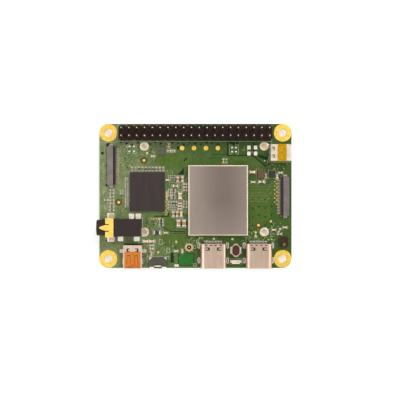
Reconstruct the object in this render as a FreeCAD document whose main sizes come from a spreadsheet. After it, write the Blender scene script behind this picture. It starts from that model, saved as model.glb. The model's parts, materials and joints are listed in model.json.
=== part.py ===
import FreeCAD, Part
import os
import re

import Sketcher

# Single board computer, 64 x 48 mm. The origin is the middle of the four mounting
# holes on the underside of the board; +X runs to the speaker terminal's edge,
# +Y to the header's edge and +Z out of the populated face. Sizes are in millimetres.

SIZES = {
    # circuit board and its mounting holes
    "board_length": 64.0,
    "board_width": 48.0,
    "board_thickness": 1.2,
    "board_corner": 3.0,
    "mount_inset": 3.0,
    "mount_radius": 1.35,
    "mount_pad_radius": 2.95,
    "slot_clearance": 0.12,
    "fit_gap": 0.02,
    "run_gap": 0.05,
    # two-row pin header
    "header_pitch": 2.54,
    "header_inset": 3.1,
    "header_width": 5.0,
    "header_height": 2.5,
    "header_notch": 0.55,
    "pin_side": 0.64,
    "pin_top": 8.5,
    "pin_tail": 1.5,
    "pin_taper": 0.18,
    # processor and the other bare chips
    "processor_length": 11.5,
    "processor_width": 12.9,
    "processor_x": -16.0,
    "processor_front": 25.4,
    "chip_standoff": 0.2,
    "chip_laminate": 0.25,
    "processor_mould": 0.6,
    "memory_length": 10.0,
    "memory_width": 14.5,
    "storage_length": 11.5,
    "storage_width": 13.0,
    "chip_mould": 0.55,
    # shield can
    "shield_length": 19.85,
    "shield_width": 23.5,
    "shield_inset": 24.5,
    "shield_front": 22.5,
    "shield_height": 2.2,
    "shield_wall": 0.2,
    "shield_bend": 0.35,
    "shield_lift": 0.25,
    "shield_window": 1.6,
    "shield_window_height": 0.45,
    "shield_frame_foot": 1.2,
    "shield_margin": 2.8,
    "accelerator_side": 5.0,
    "power_manager_side": 6.0,
    "radio_side": 6.5,
    "covered_height": 0.9,
    # USB-C receptacles
    "usb_mouth_width": 8.34,
    "usb_mouth_height": 2.56,
    "usb_wall": 0.22,
    "usb_depth": 8.1,
    "usb_inset": 11.05,
    "usb_spacing": 15.05,
    "usb_tongue_width": 6.69,
    "usb_tongue_thick": 0.7,
    "usb_tongue_start": 0.9,
    "usb_root_start": 4.7,
    "usb_block_start": 6.0,
    "usb_contact_width": 0.25,
    "usb_contact_pitch": 0.5,
    "usb_contact_skin": 0.05,
    "usb_tail_length": 0.7,
    "leg_depth": 1.45,
    # micro HDMI receptacle
    "hdmi_inset": 11.2,
    "hdmi_width": 6.2,
    "hdmi_height": 2.8,
    "hdmi_depth": 7.65,
    "hdmi_wall": 0.2,
    "hdmi_tongue_width": 4.1,
    "hdmi_tongue_thick": 0.6,
    "hdmi_contact_pitch": 0.4,
    "hdmi_tape_width": 5.35,
    "hdmi_tape_length": 5.5,
    "tape_thick": 0.07,
    # audio jack
    "jack_front": 13.5,
    "jack_axis": 2.6,
    "jack_bore": 1.8,
    "jack_nose_radius": 2.6,
    "jack_overhang": 0.55,
    "jack_nose_length": 5.8,
    "jack_body_length": 8.8,
    "jack_body_width": 5.8,
    "jack_body_height": 5.0,
    "jack_chamber": 2.1,
    "jack_chamber_length": 7.6,
    "collar_start": 2.45,
    "collar_length": 2.7,
    "collar_wall": 0.22,
    "collar_foot": 1.25,
    "tongue_reach": 2.0,
    # flat cable connectors
    "cable_contacts": 24,
    "cable_pitch": 0.5,
    "cable_height": 1.05,
    "cable_roof": 1.95,
    "cable_floor": 0.3,
    "cable_slot": 0.36,
    "cable_slot_width": 12.6,
    "cable_cheek": 0.45,
    "cable_length": 13.5,
    "cable_depth": 2.85,
    "cable_tail": 0.85,
    "lock_axis_x": 2.25,
    "lock_axis_z": 0.75,
    "lock_nose": 0.27,
    "lock_reach": 0.56,
    "lock_stub": 0.13,
    "camera_back": 14.0,
    "camera_inset": 2.65,
    "display_inset": 0.85,
    "display_y": -0.15,
    # two-way screw terminal
    "terminal_length": 6.8,
    "terminal_width": 5.4,
    "terminal_height": 4.6,
    "terminal_inset": 0.4,
    "terminal_back": 9.75,
    "terminal_pitch": 2.54,
    "cage_length": 2.0,
    "cage_width": 1.9,
    "cage_height": 2.0,
    "cage_lid": 0.45,
    "cage_wall": 0.2,
    "cage_start": 0.45,
    "cage_travel": 0.8,
    "screw_shank": 0.7,
    "screw_head": 1.05,
    "screw_head_height": 0.78,
    "screw_slot": 0.3,
    "terminal_tape_width": 3.0,
    # side-pushed power switch
    "switch_inset": 19.5,
    "switch_front": 5.5,
    "switch_rear": 4.2,
    "switch_depth": 2.9,
    "switch_height": 1.4,
    "switch_notch": 0.45,
    "switch_travel": 0.2,
    "plunger_width": 2.6,
    "plunger_height": 0.8,
    # oval user button
    "button_front": 5.9,
    "button_width": 2.9,
    "button_length": 4.4,
    "button_base": 0.75,
    "button_cover": 1.35,
    "button_cap_width": 2.2,
    "button_cap_length": 3.3,
    "button_cap_top": 1.85,
    "button_travel": 0.25,
    # threaded nuts under the board
    "nut_left": 15.0,
    "nut_right": 9.1,
    "nut_front": 11.95,
    "nut_back": 7.45,
    "nut_shank": 1.5,
    "nut_flange": 2.2,
    "nut_height": 1.5,
    "nut_bore": 0.8,
    "nut_cap": 0.5,
    # other small connectors and parts
    "antenna_gap": 8.0,
    "antenna_front": 6.85,
    "antenna_side": 2.4,
    "antenna_shell_radius": 1.0,
    "microphone_inset": 2.6,
    "microphone_front": 8.7,
    "microphone_length": 3.9,
    "microphone_width": 3.0,
    "lamp_front": 2.05,
    "lamp_length": 3.9,
    "inductor_inset": 10.3,
    "inductor_back": 16.8,
    "regulator_inset": 6.5,
    "oscillator_share": 0.7,
    "oscillator_shift": 0.235,
    "feeder_pitch": 1.1,
    "feeder_start": 8.1,
    "feeder_clearance": 5.15,
    "large_length": 2.0,
    "large_width": 1.2,
    "large_height": 0.9,
    "medium_length": 1.6,
    "medium_width": 0.8,
    "medium_height": 0.7,
    "small_length": 1.0,
    "small_width": 0.5,
    "small_height": 0.4,
    "tiny_length": 0.6,
    "tiny_width": 0.3,
    "tiny_height": 0.25,
    "tiny_pitch": 0.62,
    "small_pitch": 0.9,
}

# Sizes and places that follow from the ones above.
DERIVED = {
    "header_columns": "floor((board_length - 2 * (mount_inset + mount_pad_radius)) / header_pitch)",
    "header_y": "board_width / 2 - header_inset",
    "processor_y": "processor_front - board_width / 2",
    "shield_x": "board_length / 2 - shield_inset",
    "shield_y": "shield_front - board_width / 2",
    "usb_power_x": "board_length / 2 - usb_inset",
    "usb_data_x": "board_length / 2 - usb_inset - usb_spacing",
    "hdmi_x": "hdmi_inset - board_length / 2",
    "jack_y": "jack_front - board_width / 2",
    "camera_y": "board_width / 2 - camera_back",
    "terminal_x": "board_length / 2 - terminal_inset - terminal_length / 2",
    "terminal_y": "board_width / 2 - terminal_back",
    "switch_x": "switch_inset - board_length / 2",
    "button_x": "board_length / 2 - usb_inset - usb_spacing / 2",
    "button_y": "button_front - board_width / 2",
    "antenna_x": "board_length / 2 - usb_inset - usb_spacing - antenna_gap",
    "antenna_y": "antenna_front - board_width / 2",
    "usb_leg_x": "usb_mouth_width / 2 + 2 * usb_wall + run_gap",
}

DESIGN_WORD = re.compile(r"[a-z]+(?:_[a-z]+)+")

doc = FreeCAD.newDocument("single_board_computer")
sheet = doc.addObject("Spreadsheet::Sheet", "Sizes")
for row, (alias, value) in enumerate(SIZES.items(), start=1):
    sheet.set("A%d" % row, alias.replace("_", " "))
    sheet.set("B%d" % row, str(value))
    sheet.setAlias("B%d" % row, alias)
for row, (alias, formula) in enumerate(DERIVED.items(), start=len(SIZES) + 1):
    sheet.set("A%d" % row, alias.replace("_", " "))
    sheet.set("B%d" % row, "=" + formula)
    sheet.setAlias("B%d" % row, alias)
doc.recompute()

sub_parts = {}
blocks = {}


# ---------------------------------------------------------------- helpers


def in_sheet(text):
    """An expression whose size names point at the sheet."""
    return DESIGN_WORD.sub(lambda word: "Sizes." + word.group(), text)


def number(text):
    """The value of an expression made of size names, numbers and + - * /."""
    plain = DESIGN_WORD.sub(lambda word: "(%r)" % sheet.get(word.group()), text)
    return FreeCAD.Units.Quantity(plain).Value


def bind(thing, links):
    """Ties properties to expressions of the sheet."""
    for name, text in links.items():
        thing.setExpression(name, in_sheet(text))
    return thing


def place(thing, x="0", y="0", z="0", turn=0):
    """Puts an object at a bound position, turned about Z by whole degrees."""
    spin = FreeCAD.Rotation(FreeCAD.Vector(0, 0, 1), turn)
    thing.Placement = FreeCAD.Placement(FreeCAD.Vector(), spin)
    links = {"Placement.Base.x": x, "Placement.Base.y": y, "Placement.Base.z": z}
    return bind(thing, links)


def keep(label, thing):
    """Names a sub-part and notes it for export."""
    thing.Label = label
    sub_parts[label] = thing
    return thing


def box(name, x, y, z):
    """A box between pairs of bound limits."""
    thing = doc.addObject("Part::Box", name)
    for axis, side, (low, high) in (("x", "Length", x), ("y", "Width", y), ("z", "Height", z)):
        bind(thing, {"Placement.Base." + axis: low, side: "(%s) - (%s)" % (high, low)})
    return thing


def middle_box(name, width, y, z):
    """A box centred on x = 0."""
    return box(name, ("-(%s) / 2" % width, "(%s) / 2" % width), y, z)


TURNS = {
    "z": FreeCAD.Rotation(),
    "x": FreeCAD.Rotation(FreeCAD.Vector(0, 1, 0), 90),
    "y": FreeCAD.Rotation(FreeCAD.Vector(1, 0, 0), -90),
}


def cylinder(name, x, y, z, radius, height, axis="z"):
    """A cylinder that starts at a bound point and runs along an axis."""
    thing = doc.addObject("Part::Cylinder", name)
    thing.Placement = FreeCAD.Placement(FreeCAD.Vector(), TURNS[axis])
    links = {"Placement.Base.x": x, "Placement.Base.y": y, "Placement.Base.z": z}
    return bind(thing, dict(links, Radius=radius, Height=height))


def many_sided(name, sides, x, y, z, radius, height, axis="z"):
    """A regular prism inside a radius, placed as a cylinder is."""
    thing = doc.addObject("Part::Prism", name)
    thing.Polygon = sides
    thing.Placement = FreeCAD.Placement(FreeCAD.Vector(), TURNS[axis])
    links = {"Placement.Base.x": x, "Placement.Base.y": y, "Placement.Base.z": z}
    return bind(thing, dict(links, Circumradius=radius, Height=height))


def fuse(name, *things):
    """One solid from touching or overlapping ones."""
    thing = doc.addObject("Part::MultiFuse", name)
    thing.Shapes = list(things)
    thing.Refine = True
    return thing


def alone(name, thing):
    """A holder that lets one solid be placed on the board as it stands."""
    holder = doc.addObject("Part::Compound", name)
    holder.Links = [thing]
    return holder


def cut(name, base, *tools):
    """A solid less its tools."""
    tool = tools[0] if len(tools) == 1 else fuse(name + "_tools", *tools)
    thing = doc.addObject("Part::Cut", name)
    thing.Base = base
    thing.Tool = tool
    return thing


def draw_outline(sketch, corners):
    """A closed outline through bound corners."""
    points = [FreeCAD.Vector(number(x), number(y), 0) for x, y in corners]
    first = sketch.GeometryCount
    count = len(points)
    lines = [Part.LineSegment(points[i], points[(i + 1) % count]) for i in range(count)]
    sketch.addGeometry(lines, False)
    for i in range(count):
        link = Sketcher.Constraint("Coincident", first + i, 2, first + (i + 1) % count, 1)
        sketch.addConstraint(link)
    for i, (x, y) in enumerate(corners):
        for kind, text, value in (("DistanceX", x, points[i].x), ("DistanceY", y, points[i].y)):
            index = sketch.addConstraint(Sketcher.Constraint(kind, first + i, 1, value))
            sketch.setExpression("Constraints[%d]" % index, in_sheet(text))


def draw_circle(sketch, x, y, radius):
    """A circle with a bound centre and radius."""
    centre = FreeCAD.Vector(number(x), number(y), 0)
    geometry = Part.Circle(centre, FreeCAD.Vector(0, 0, 1), number(radius))
    index = sketch.addGeometry(geometry, False)
    values = (("DistanceX", x, centre.x), ("DistanceY", y, centre.y))
    for kind, text, value in values:
        constraint = sketch.addConstraint(Sketcher.Constraint(kind, index, 3, value))
        sketch.setExpression("Constraints[%d]" % constraint, in_sheet(text))
    constraint = sketch.addConstraint(Sketcher.Constraint("Radius", index, geometry.Radius))
    sketch.setExpression("Constraints[%d]" % constraint, in_sheet(radius))


def draw_rectangle(sketch, x, y):
    """A rectangle between bound limits."""
    draw_outline(sketch, [(x[0], y[0]), (x[1], y[0]), (x[1], y[1]), (x[0], y[1])])


def draw_stadium(sketch, width, height, middle):
    """A slot shape: two lines joined by tangent half circles, centred on x = 0."""
    radius = number(height) / 2
    span = number(width) / 2 - radius
    level = number(middle)
    normal = FreeCAD.Vector(0, 0, 1)
    quarter = 1.5707963267948966
    first = sketch.GeometryCount
    right = Part.Circle(FreeCAD.Vector(span, level, 0), normal, radius)
    left = Part.Circle(FreeCAD.Vector(-span, level, 0), normal, radius)
    low = level - radius
    high = level + radius
    sketch.addGeometry([
        Part.LineSegment(FreeCAD.Vector(-span, low, 0), FreeCAD.Vector(span, low, 0)),
        Part.ArcOfCircle(right, -quarter, quarter),
        Part.LineSegment(FreeCAD.Vector(span, high, 0), FreeCAD.Vector(-span, high, 0)),
        Part.ArcOfCircle(left, quarter, 3 * quarter),
    ], False)
    for i in range(4):
        link = Sketcher.Constraint("Tangent", first + i, 2, first + (i + 1) % 4, 1)
        sketch.addConstraint(link)
    bound = [
        ("DistanceX", first + 1, 3, span, "(%s) / 2 - (%s) / 2" % (width, height)),
        ("DistanceY", first + 1, 3, level, middle),
        ("DistanceX", first + 3, 3, -span, "(%s) / 2 - (%s) / 2" % (height, width)),
        ("DistanceY", first + 3, 3, level, middle),
    ]
    for kind, geometry, point, value, text in bound:
        index = sketch.addConstraint(Sketcher.Constraint(kind, geometry, point, value))
        sketch.setExpression("Constraints[%d]" % index, in_sheet(text))
    index = sketch.addConstraint(Sketcher.Constraint("Radius", first + 1, radius))
    sketch.setExpression("Constraints[%d]" % index, in_sheet("(%s) / 2" % height))


PLANE_TURNS = {
    "xy": FreeCAD.Rotation(),
    "xz": FreeCAD.Rotation(FreeCAD.Vector(1, 0, 0), 90),
    "yz": FreeCAD.Rotation(FreeCAD.Vector(1, 1, 1), 120),
}
ACROSS = {"xy": "z", "xz": "y", "yz": "x"}


def prism(name, plane, corners, low, high):
    """An outline drawn in a plane and extruded between two bound levels across it."""
    sketch = doc.addObject("Sketcher::SketchObject", name + "_outline")
    sketch.Placement = FreeCAD.Placement(FreeCAD.Vector(), PLANE_TURNS[plane])
    bind(sketch, {"Placement.Base." + ACROSS[plane]: high if plane == "xz" else low})
    draw_outline(sketch, corners)
    thing = doc.addObject("Part::Extrusion", name)
    thing.Base = sketch
    thing.DirMode = "Normal"
    thing.Solid = True
    return bind(thing, {"LengthFwd": "(%s) - (%s)" % (high, low)})


def bevel_edges(name, thing, width, wanted):
    """A chamfer on the edges for which wanted(edge) holds."""
    doc.recompute()
    size = number(width)
    edges = [i for i, edge in enumerate(thing.Shape.Edges, start=1) if wanted(edge)]
    chamfer = doc.addObject("Part::Chamfer", name)
    chamfer.Base = thing
    chamfer.Edges = [(i, size, size) for i in edges]
    return chamfer


def upright(edge):
    """Whether an edge is a straight one along Z."""
    ends = [vertex.Point for vertex in edge.Vertexes]
    if len(ends) != 2:
        return False
    step = ends[1] - ends[0]
    return abs(step.z) > 1e-6 and abs(step.x) < 1e-6 and abs(step.y) < 1e-6


def at_level(edge, level):
    """Whether an edge lies in a plane of constant z."""
    box_of_edge = edge.BoundBox
    return abs(box_of_edge.ZMin - level) < 1e-6 and abs(box_of_edge.ZMax - level) < 1e-6


# PartDesign helpers


def new_body(label):
    """A PartDesign body that will be one sub-part."""
    body = doc.addObject("PartDesign::Body", label)
    return keep(label, body)


def new_sketch(body, role, offset="0"):
    """A sketch on one of a body's own origin planes, moved off it by a bound offset."""
    plane = next(item for item in body.Origin.OriginFeatures if item.Role == role)
    sketch = body.newObject("Sketcher::SketchObject", body.Name + "_sketch")
    sketch.AttachmentSupport = [(plane, "")]
    sketch.MapMode = "FlatFace"
    return bind(sketch, {"AttachmentOffset.Base.z": offset})


def pad(body, sketch, length, back=False):
    """A pad of bound length, along the sketch's normal or against it."""
    feature = body.newObject("PartDesign::Pad", body.Name + "_pad")
    feature.Profile = sketch
    feature.Reversed = back
    bind(feature, {"Length": length})
    doc.recompute()
    return feature


def pocket(body, sketch, length=None, back=False):
    """A pocket of bound depth, or right through the body both ways."""
    feature = body.newObject("PartDesign::Pocket", body.Name + "_pocket")
    feature.Profile = sketch
    feature.Reversed = back
    if length is None:
        feature.Type = "ThroughAll"
        feature.Midplane = True
    else:
        bind(feature, {"Length": length})
    doc.recompute()
    if feature.Shape.Volume >= feature.BaseFeature.Shape.Volume:
        raise RuntimeError("a pocket cuts nothing in " + body.Label)
    return feature


def pattern(body, feature, axis, count, length):
    """A linear pattern of a feature along a sketch axis, made the body's tip."""
    repeat = body.newObject("PartDesign::LinearPattern", body.Name + "_pattern")
    repeat.Originals = [feature]
    repeat.Direction = (feature.Profile[0], [axis])
    bind(repeat, {"Length": length, "Occurrences": count})
    body.Tip = repeat
    doc.recompute()
    return repeat


def soften(body, feature, radius, wanted):
    """A PartDesign fillet on the edges for which wanted(edge) holds."""
    edges = ["Edge%d" % i for i, edge in enumerate(feature.Shape.Edges, start=1) if wanted(edge)]
    fillet = body.newObject("PartDesign::Fillet", body.Name + "_fillet")
    fillet.Base = (feature, edges)
    bind(fillet, {"Radius": radius})
    doc.recompute()
    return fillet


def moved(shape, x, y, turn):
    """The solids of a shape, carried to a place on the board."""
    copy = shape.copy()
    spot = FreeCAD.Placement(FreeCAD.Vector(x, y, 0), FreeCAD.Rotation(FreeCAD.Vector(0, 0, 1), turn))
    copy.Placement = spot.multiply(copy.Placement)
    return copy.Solids


def group(label, solids, level):
    """Separate solids in one sub-part, on one level."""
    thing = doc.addObject("Part::Feature", label)
    thing.Shape = Part.makeCompound(solids)
    place(thing, "0", "0", level)
    return keep(label, thing)


def scatter(label, prototypes, places, level):
    """Copies of small prototype objects at (x, y, turn) places on one level."""
    doc.recompute()
    solids = [solid for spot in places for thing in prototypes for solid in moved(thing.Shape, *spot)]
    return group(label, solids, level)


TOP = "board_thickness"
LEFT = "-board_length / 2"
RIGHT = "board_length / 2"
FRONT = "-board_width / 2"
BACK = "board_width / 2"


# ---------------------------------------------------------------- board and header


NUT_X = (LEFT + " + nut_left", RIGHT + " - nut_right")
NUT_Y = (FRONT + " + nut_front", BACK + " - nut_back")


def nut_places():
    """Centres of the four threaded nuts."""
    return [(number(x), number(y), 0) for x in NUT_X for y in NUT_Y]


def mount_places():
    """Centres of the four mounting holes."""
    half_x = number("board_length / 2 - mount_inset")
    half_y = number("board_width / 2 - mount_inset")
    return [(i * half_x, j * half_y, 0) for i in (-1, 1) for j in (-1, 1)]


def header_pin_x(column):
    """The bound x of a header column, counted from 0 at the left."""
    return "(%d - (header_columns - 1) / 2) * header_pitch" % column


HEADER_Y = "header_y"
USB_LEG_X = "usb_leg_x"
USB_LEGS = (("1.9", "3.1"), ("6.6", "7.8"))
HDMI_LEGS = (("1.3", "3.2"),)
TERMINAL_X = "terminal_x"


def circuit_board():
    """The board: rounded outline, switch notch, and every hole that something fills."""
    body = new_body("circuit_board")
    outline = new_sketch(body, "XY_Plane")
    draw_rectangle(outline, (LEFT, RIGHT), (FRONT, BACK))
    slab = pad(body, outline, "board_thickness")
    slab = soften(body, slab, "board_corner", upright)

    mounts = new_sketch(body, "XY_Plane")
    for i in ("-1", "1"):
        for j in ("-1", "1"):
            draw_circle(mounts, i + " * (board_length / 2 - mount_inset)",
                        j + " * (board_width / 2 - mount_inset)", "mount_radius")
    for x in NUT_X:
        for y in NUT_Y:
            draw_circle(mounts, x, y, "nut_shank + fit_gap")
    pocket(body, mounts)

    pins = new_sketch(body, "XY_Plane")
    half_hole = "(pin_side / 2 + fit_gap)"
    first = header_pin_x(0)
    for j in ("-", "+"):
        row = "%s %s header_pitch / 2" % (HEADER_Y, j)
        draw_rectangle(pins, (first + " - " + half_hole, first + " + " + half_hole),
                       (row + " - " + half_hole, row + " + " + half_hole))
    holes = pocket(body, pins)
    pattern(body, holes, "H_Axis", "header_columns", "(header_columns - 1) * header_pitch")

    slots = new_sketch(body, "XY_Plane")
    draw_rectangle(slots, ("switch_x - switch_front / 2 - fit_gap", "switch_x + switch_front / 2 + fit_gap"),
                   (FRONT + " - 1", FRONT + " + switch_notch"))
    for centre in ("usb_data_x", "usb_power_x"):
        for low, high in USB_LEGS:
            leg_slots(slots, centre, USB_LEG_X, "usb_wall", low, high)
    for low, high in HDMI_LEGS:
        leg_slots(slots, "hdmi_x", "hdmi_width / 2 + hdmi_wall", "hdmi_wall", low, high)
    for j in ("-", "+"):
        row = "terminal_y %s terminal_pitch / 2" % j
        draw_rectangle(slots,
                       (TERMINAL_X + " - 2.85 - slot_clearance", TERMINAL_X + " - 2.6 + slot_clearance"),
                       (row + " - 0.5 - slot_clearance", row + " + 0.5 + slot_clearance"))
    pocket(body, slots)


def leg_slots(sketch, centre, outer, wall, low, high):
    """A pair of board slots for shell legs on both sides of a connector."""
    for sign in ("-", "+"):
        inner_edge = "%s %s (%s - %s - slot_clearance)" % (centre, sign, outer, wall)
        outer_edge = "%s %s (%s + slot_clearance)" % (centre, sign, outer)
        limits = (inner_edge, outer_edge) if sign == "+" else (outer_edge, inner_edge)
        draw_rectangle(sketch, limits, (FRONT + " + %s - slot_clearance" % low,
                                        FRONT + " + %s + slot_clearance" % high))


def header_housing():
    """The header's moulded strip: notched between columns, pierced for each pin."""
    body = new_body("header_housing")
    outline = new_sketch(body, "XY_Plane")
    half = "header_columns * header_pitch / 2"
    draw_rectangle(outline, ("-" + half, half), ("-header_width / 2", "header_width / 2"))
    pad(body, outline, "header_height")

    notches = new_sketch(body, "XY_Plane")
    middle = "-header_columns * header_pitch / 2"
    for side in ("-", ""):
        outer = side + "(header_width / 2 + 0.1)"
        draw_outline(notches, [
            (middle + " - header_notch - 0.1", outer),
            (middle, side + "(header_width / 2 - header_notch)"),
            (middle + " + header_notch + 0.1", outer),
        ])
    cells = pocket(body, notches)
    pattern(body, cells, "H_Axis", "header_columns + 1", "header_columns * header_pitch")

    holes = new_sketch(body, "XY_Plane")
    first = header_pin_x(0)
    half_hole = "(pin_side / 2 + fit_gap)"
    for row in ("-header_pitch / 2", "header_pitch / 2"):
        draw_rectangle(holes, (first + " - " + half_hole, first + " + " + half_hole),
                       (row + " - " + half_hole, row + " + " + half_hole))
    pierced = pocket(body, holes)
    pattern(body, pierced, "H_Axis", "header_columns", "(header_columns - 1) * header_pitch")
    place(body, "0", HEADER_Y, TOP)


def header_pins():
    """Square pins with tapered tips, through the housing and the board."""
    shaft = box("pin_shaft", ("-pin_side / 2", "pin_side / 2"), ("-pin_side / 2", "pin_side / 2"),
                ("-pin_tail - board_thickness", "pin_top"))
    doc.recompute()
    taper = number("pin_taper")
    top = number("pin_top")
    edges = [i for i, edge in enumerate(shaft.Shape.Edges, start=1) if at_level(edge, top)]
    pin = doc.addObject("Part::Chamfer", "header_pin")
    pin.Base = shaft
    pin.Edges = [(i, taper, taper) for i in edges]
    rows = [number(HEADER_Y + " + " + text) for text in ("-header_pitch / 2", "header_pitch / 2")]
    columns = [number(header_pin_x(i)) for i in range(int(number("header_columns")))]
    scatter("header_pins", [pin], [(x, y, 0) for x in columns for y in rows], TOP)


# ---------------------------------------------------------------- chips and shield


def packaged_chip(label, length, width, mould, x, y, under=False):
    """A ball grid chip: a laminate held off the board by its solder balls, and its mould."""
    low = "chip_standoff"
    split = "chip_standoff + chip_laminate"
    top = split + " + " + mould
    if under:
        bands = (("-(%s)" % split, "-(%s)" % low), ("-(%s)" % top, "-(%s)" % split))
    else:
        bands = ((low, split), (split, top))
    for suffix, band in (("_laminate", bands[0]), ("_mould", bands[1])):
        thing = box(label + suffix, ("-(%s) / 2" % length, "(%s) / 2" % length),
                    ("-(%s) / 2" % width, "(%s) / 2" % width), band)
        holder = alone(label + suffix + "_placed", thing)
        keep(label + suffix, place(holder, x, y, "0" if under else TOP))


def shield_lid():
    """The pressed lid: one rounded tray with a row of latch windows in each skirt."""
    body = new_body("shield_lid")
    outline = new_sketch(body, "XY_Plane", "shield_lift")
    draw_rectangle(outline, ("-shield_length / 2", "shield_length / 2"),
                   ("-shield_width / 2", "shield_width / 2"))
    block = pad(body, outline, "shield_height - shield_lift")
    level = number("shield_height")
    soften(body, block, "shield_bend", lambda edge: at_level(edge, level))
    inside = new_sketch(body, "XY_Plane", "shield_lift")
    draw_rectangle(inside, ("-shield_length / 2 + shield_wall", "shield_length / 2 - shield_wall"),
                   ("-shield_width / 2 + shield_wall", "shield_width / 2 - shield_wall"))
    pocket(body, inside, "shield_height - shield_lift - shield_wall", back=True)
    low = "shield_height * 0.4"
    high = low + " + shield_window_height"
    for role, span in (("YZ_Plane", "shield_width"), ("XZ_Plane", "shield_length")):
        row = new_sketch(body, role)
        start = "shield_margin - (%s) / 2" % span
        draw_rectangle(row, (start + " - shield_window / 2", start + " + shield_window / 2"), (low, high))
        windows = pocket(body, row)
        pattern(body, windows, "H_Axis", "3", "(%s) - 2 * shield_margin" % span)
    place(body, "shield_x", "shield_y", TOP)


def shield_frame():
    """The soldered fence that the lid snaps over, standing on feet between arches."""
    body = new_body("shield_frame")
    length = "(shield_length / 2 - shield_wall - run_gap)"
    width = "(shield_width / 2 - shield_wall - run_gap)"
    outline = new_sketch(body, "XY_Plane")
    draw_rectangle(outline, ("-" + length, length), ("-" + width, width))
    draw_rectangle(outline, ("-" + length + " + shield_wall", length + " - shield_wall"),
                   ("-" + width + " + shield_wall", width + " - shield_wall"))
    pad(body, outline, "shield_height - shield_wall")
    for role, span in (("YZ_Plane", "shield_width"), ("XZ_Plane", "shield_length")):
        arches = new_sketch(body, role)
        start = "shield_margin - (%s) / 2" % span
        draw_rectangle(arches, (start + " - shield_frame_foot", start + " + shield_frame_foot"),
                       ("-0.1", "shield_lift"))
        openings = pocket(body, arches)
        pattern(body, openings, "H_Axis", "3", "(%s) - 2 * shield_margin" % span)
    place(body, "shield_x", "shield_y", TOP)


SHIELDED_CHIPS = (
    # label, side, and place from the shield's middle as shares of the shield
    ("accelerator_chip", "accelerator_side", "0.23", "0.22"),
    ("power_manager_chip", "power_manager_side", "-0.22", "0.23"),
    ("radio_chip", "radio_side", "-0.17", "-0.22"),
)


def shielded_chips():
    """The chips that stand under the shield."""
    for label, side, along, across in SHIELDED_CHIPS:
        span = ("-%s / 2" % side, "%s / 2" % side)
        holder = alone(label + "_placed", box(label + "_case", span, span, ("0", "covered_height")))
        keep(label, place(holder, "shield_x + shield_length * " + along,
                          "shield_y + shield_width * " + across, TOP))


# ---------------------------------------------------------------- USB-C and micro HDMI


def hook_slot(sketch, side, far, near, front, back, tip, low, high):
    """A C-shaped slot that frees a latch tongue; side is its direction from the middle."""
    sign = "-" if side < 0 else ""
    corners = [(far, front), (near, front), (near, back), (far, back),
               (far, high), (tip, high), (tip, low), (far, low)]
    draw_outline(sketch, [(sign + "(%s)" % x, y) for x, y in corners])


def usb_connector(prefix, centre):
    """A USB-C receptacle with its mouth in the board's front edge; y runs inwards."""
    shell = new_body(prefix + "_shell")
    middle = "usb_mouth_height / 2 + usb_wall"
    outer = new_sketch(shell, "XZ_Plane")
    draw_stadium(outer, "usb_mouth_width + 2 * usb_wall", "usb_mouth_height + 2 * usb_wall", middle)
    pad(shell, outer, "usb_depth", back=True)
    leg_x = USB_LEG_X
    for sign in ("-", ""):
        root = sign + "(usb_mouth_width / 2 + usb_wall * 0.5)"
        inner = sign + "(%s - usb_wall)" % leg_x
        outer_face = sign + "(%s)" % leg_x
        ear = new_sketch(shell, "XY_Plane", "usb_mouth_height * 0.35")
        draw_outline(ear, [
            (root, "usb_depth - 0.6"), (root, "usb_depth + 0.25"), (sign + "(%s - 0.15)" % leg_x,
                                                                    "usb_depth + 0.55"),
            (outer_face, "usb_depth + 0.2"), (outer_face, "6.6"), (inner, "6.6"), (inner, "usb_depth"),
            (sign + "(usb_mouth_width / 2 + usb_wall)", "usb_depth - 0.1"),
            (sign + "(usb_mouth_width / 2 + usb_wall)", "usb_depth - 0.6"),
        ])
        pad(shell, ear, "usb_mouth_height * 0.4")
        legs = new_sketch(shell, "XY_Plane", "-leg_depth")
        for low, high in USB_LEGS:
            limits = (outer_face, inner) if sign else (inner, outer_face)
            draw_rectangle(legs, limits, (low, high))
        pad(shell, legs, "leg_depth + usb_mouth_height * 0.6")
    bridges = new_sketch(shell, "XY_Plane", middle + " - 0.25")
    for sign in ("-", ""):
        draw_rectangle(bridges, (sign + "(%s)" % leg_x, sign + "(usb_mouth_width / 2 + 0.05)"),
                       ("1.9", "3.1"))
    pad(shell, bridges, "0.5")
    inside = new_sketch(shell, "XZ_Plane")
    draw_stadium(inside, "usb_mouth_width", "usb_mouth_height", middle)
    pocket(shell, inside)
    hooks = new_sketch(shell, "XY_Plane", "usb_mouth_height + usb_wall * 0.5")
    for side in (-1, 1):
        hook_slot(hooks, side, "2.65", "1.15", "5.9", "6.95", "1.75", "6.2", "6.65")
    for x in ("-2.4", "-0.8", "0.8", "2.4"):
        draw_rectangle(hooks, (x + " - 0.38", x + " + 0.38"), ("usb_depth - 0.62", "usb_depth - 0.3"))
    pocket(shell, hooks, "usb_wall * 2", back=True)
    place(shell, centre, FRONT, TOP)

    insert = new_body(prefix + "_insulator")
    block = new_sketch(insert, "XZ_Plane", "-usb_block_start")
    draw_stadium(block, "usb_mouth_width - 2 * fit_gap", "usb_mouth_height - 2 * fit_gap", middle)
    pad(insert, block, "usb_depth - usb_block_start", back=True)
    root = new_sketch(insert, "XZ_Plane", "-usb_root_start")
    half = "usb_tongue_width / 2"
    draw_rectangle(root, ("-" + half, half), (middle + " - usb_tongue_thick", middle + " + usb_tongue_thick"))
    pad(insert, root, "usb_block_start - usb_root_start", back=True)
    tongue = new_sketch(insert, "XZ_Plane", "-usb_tongue_start")
    half_thick = "usb_tongue_thick / 2"
    draw_rectangle(tongue, ("-" + half, half), (middle + " - " + half_thick, middle + " + " + half_thick))
    pad(insert, tongue, "usb_root_start - usb_tongue_start", back=True)
    place(insert, centre, FRONT, TOP)

    usb_contacts(prefix, centre, middle)


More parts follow.
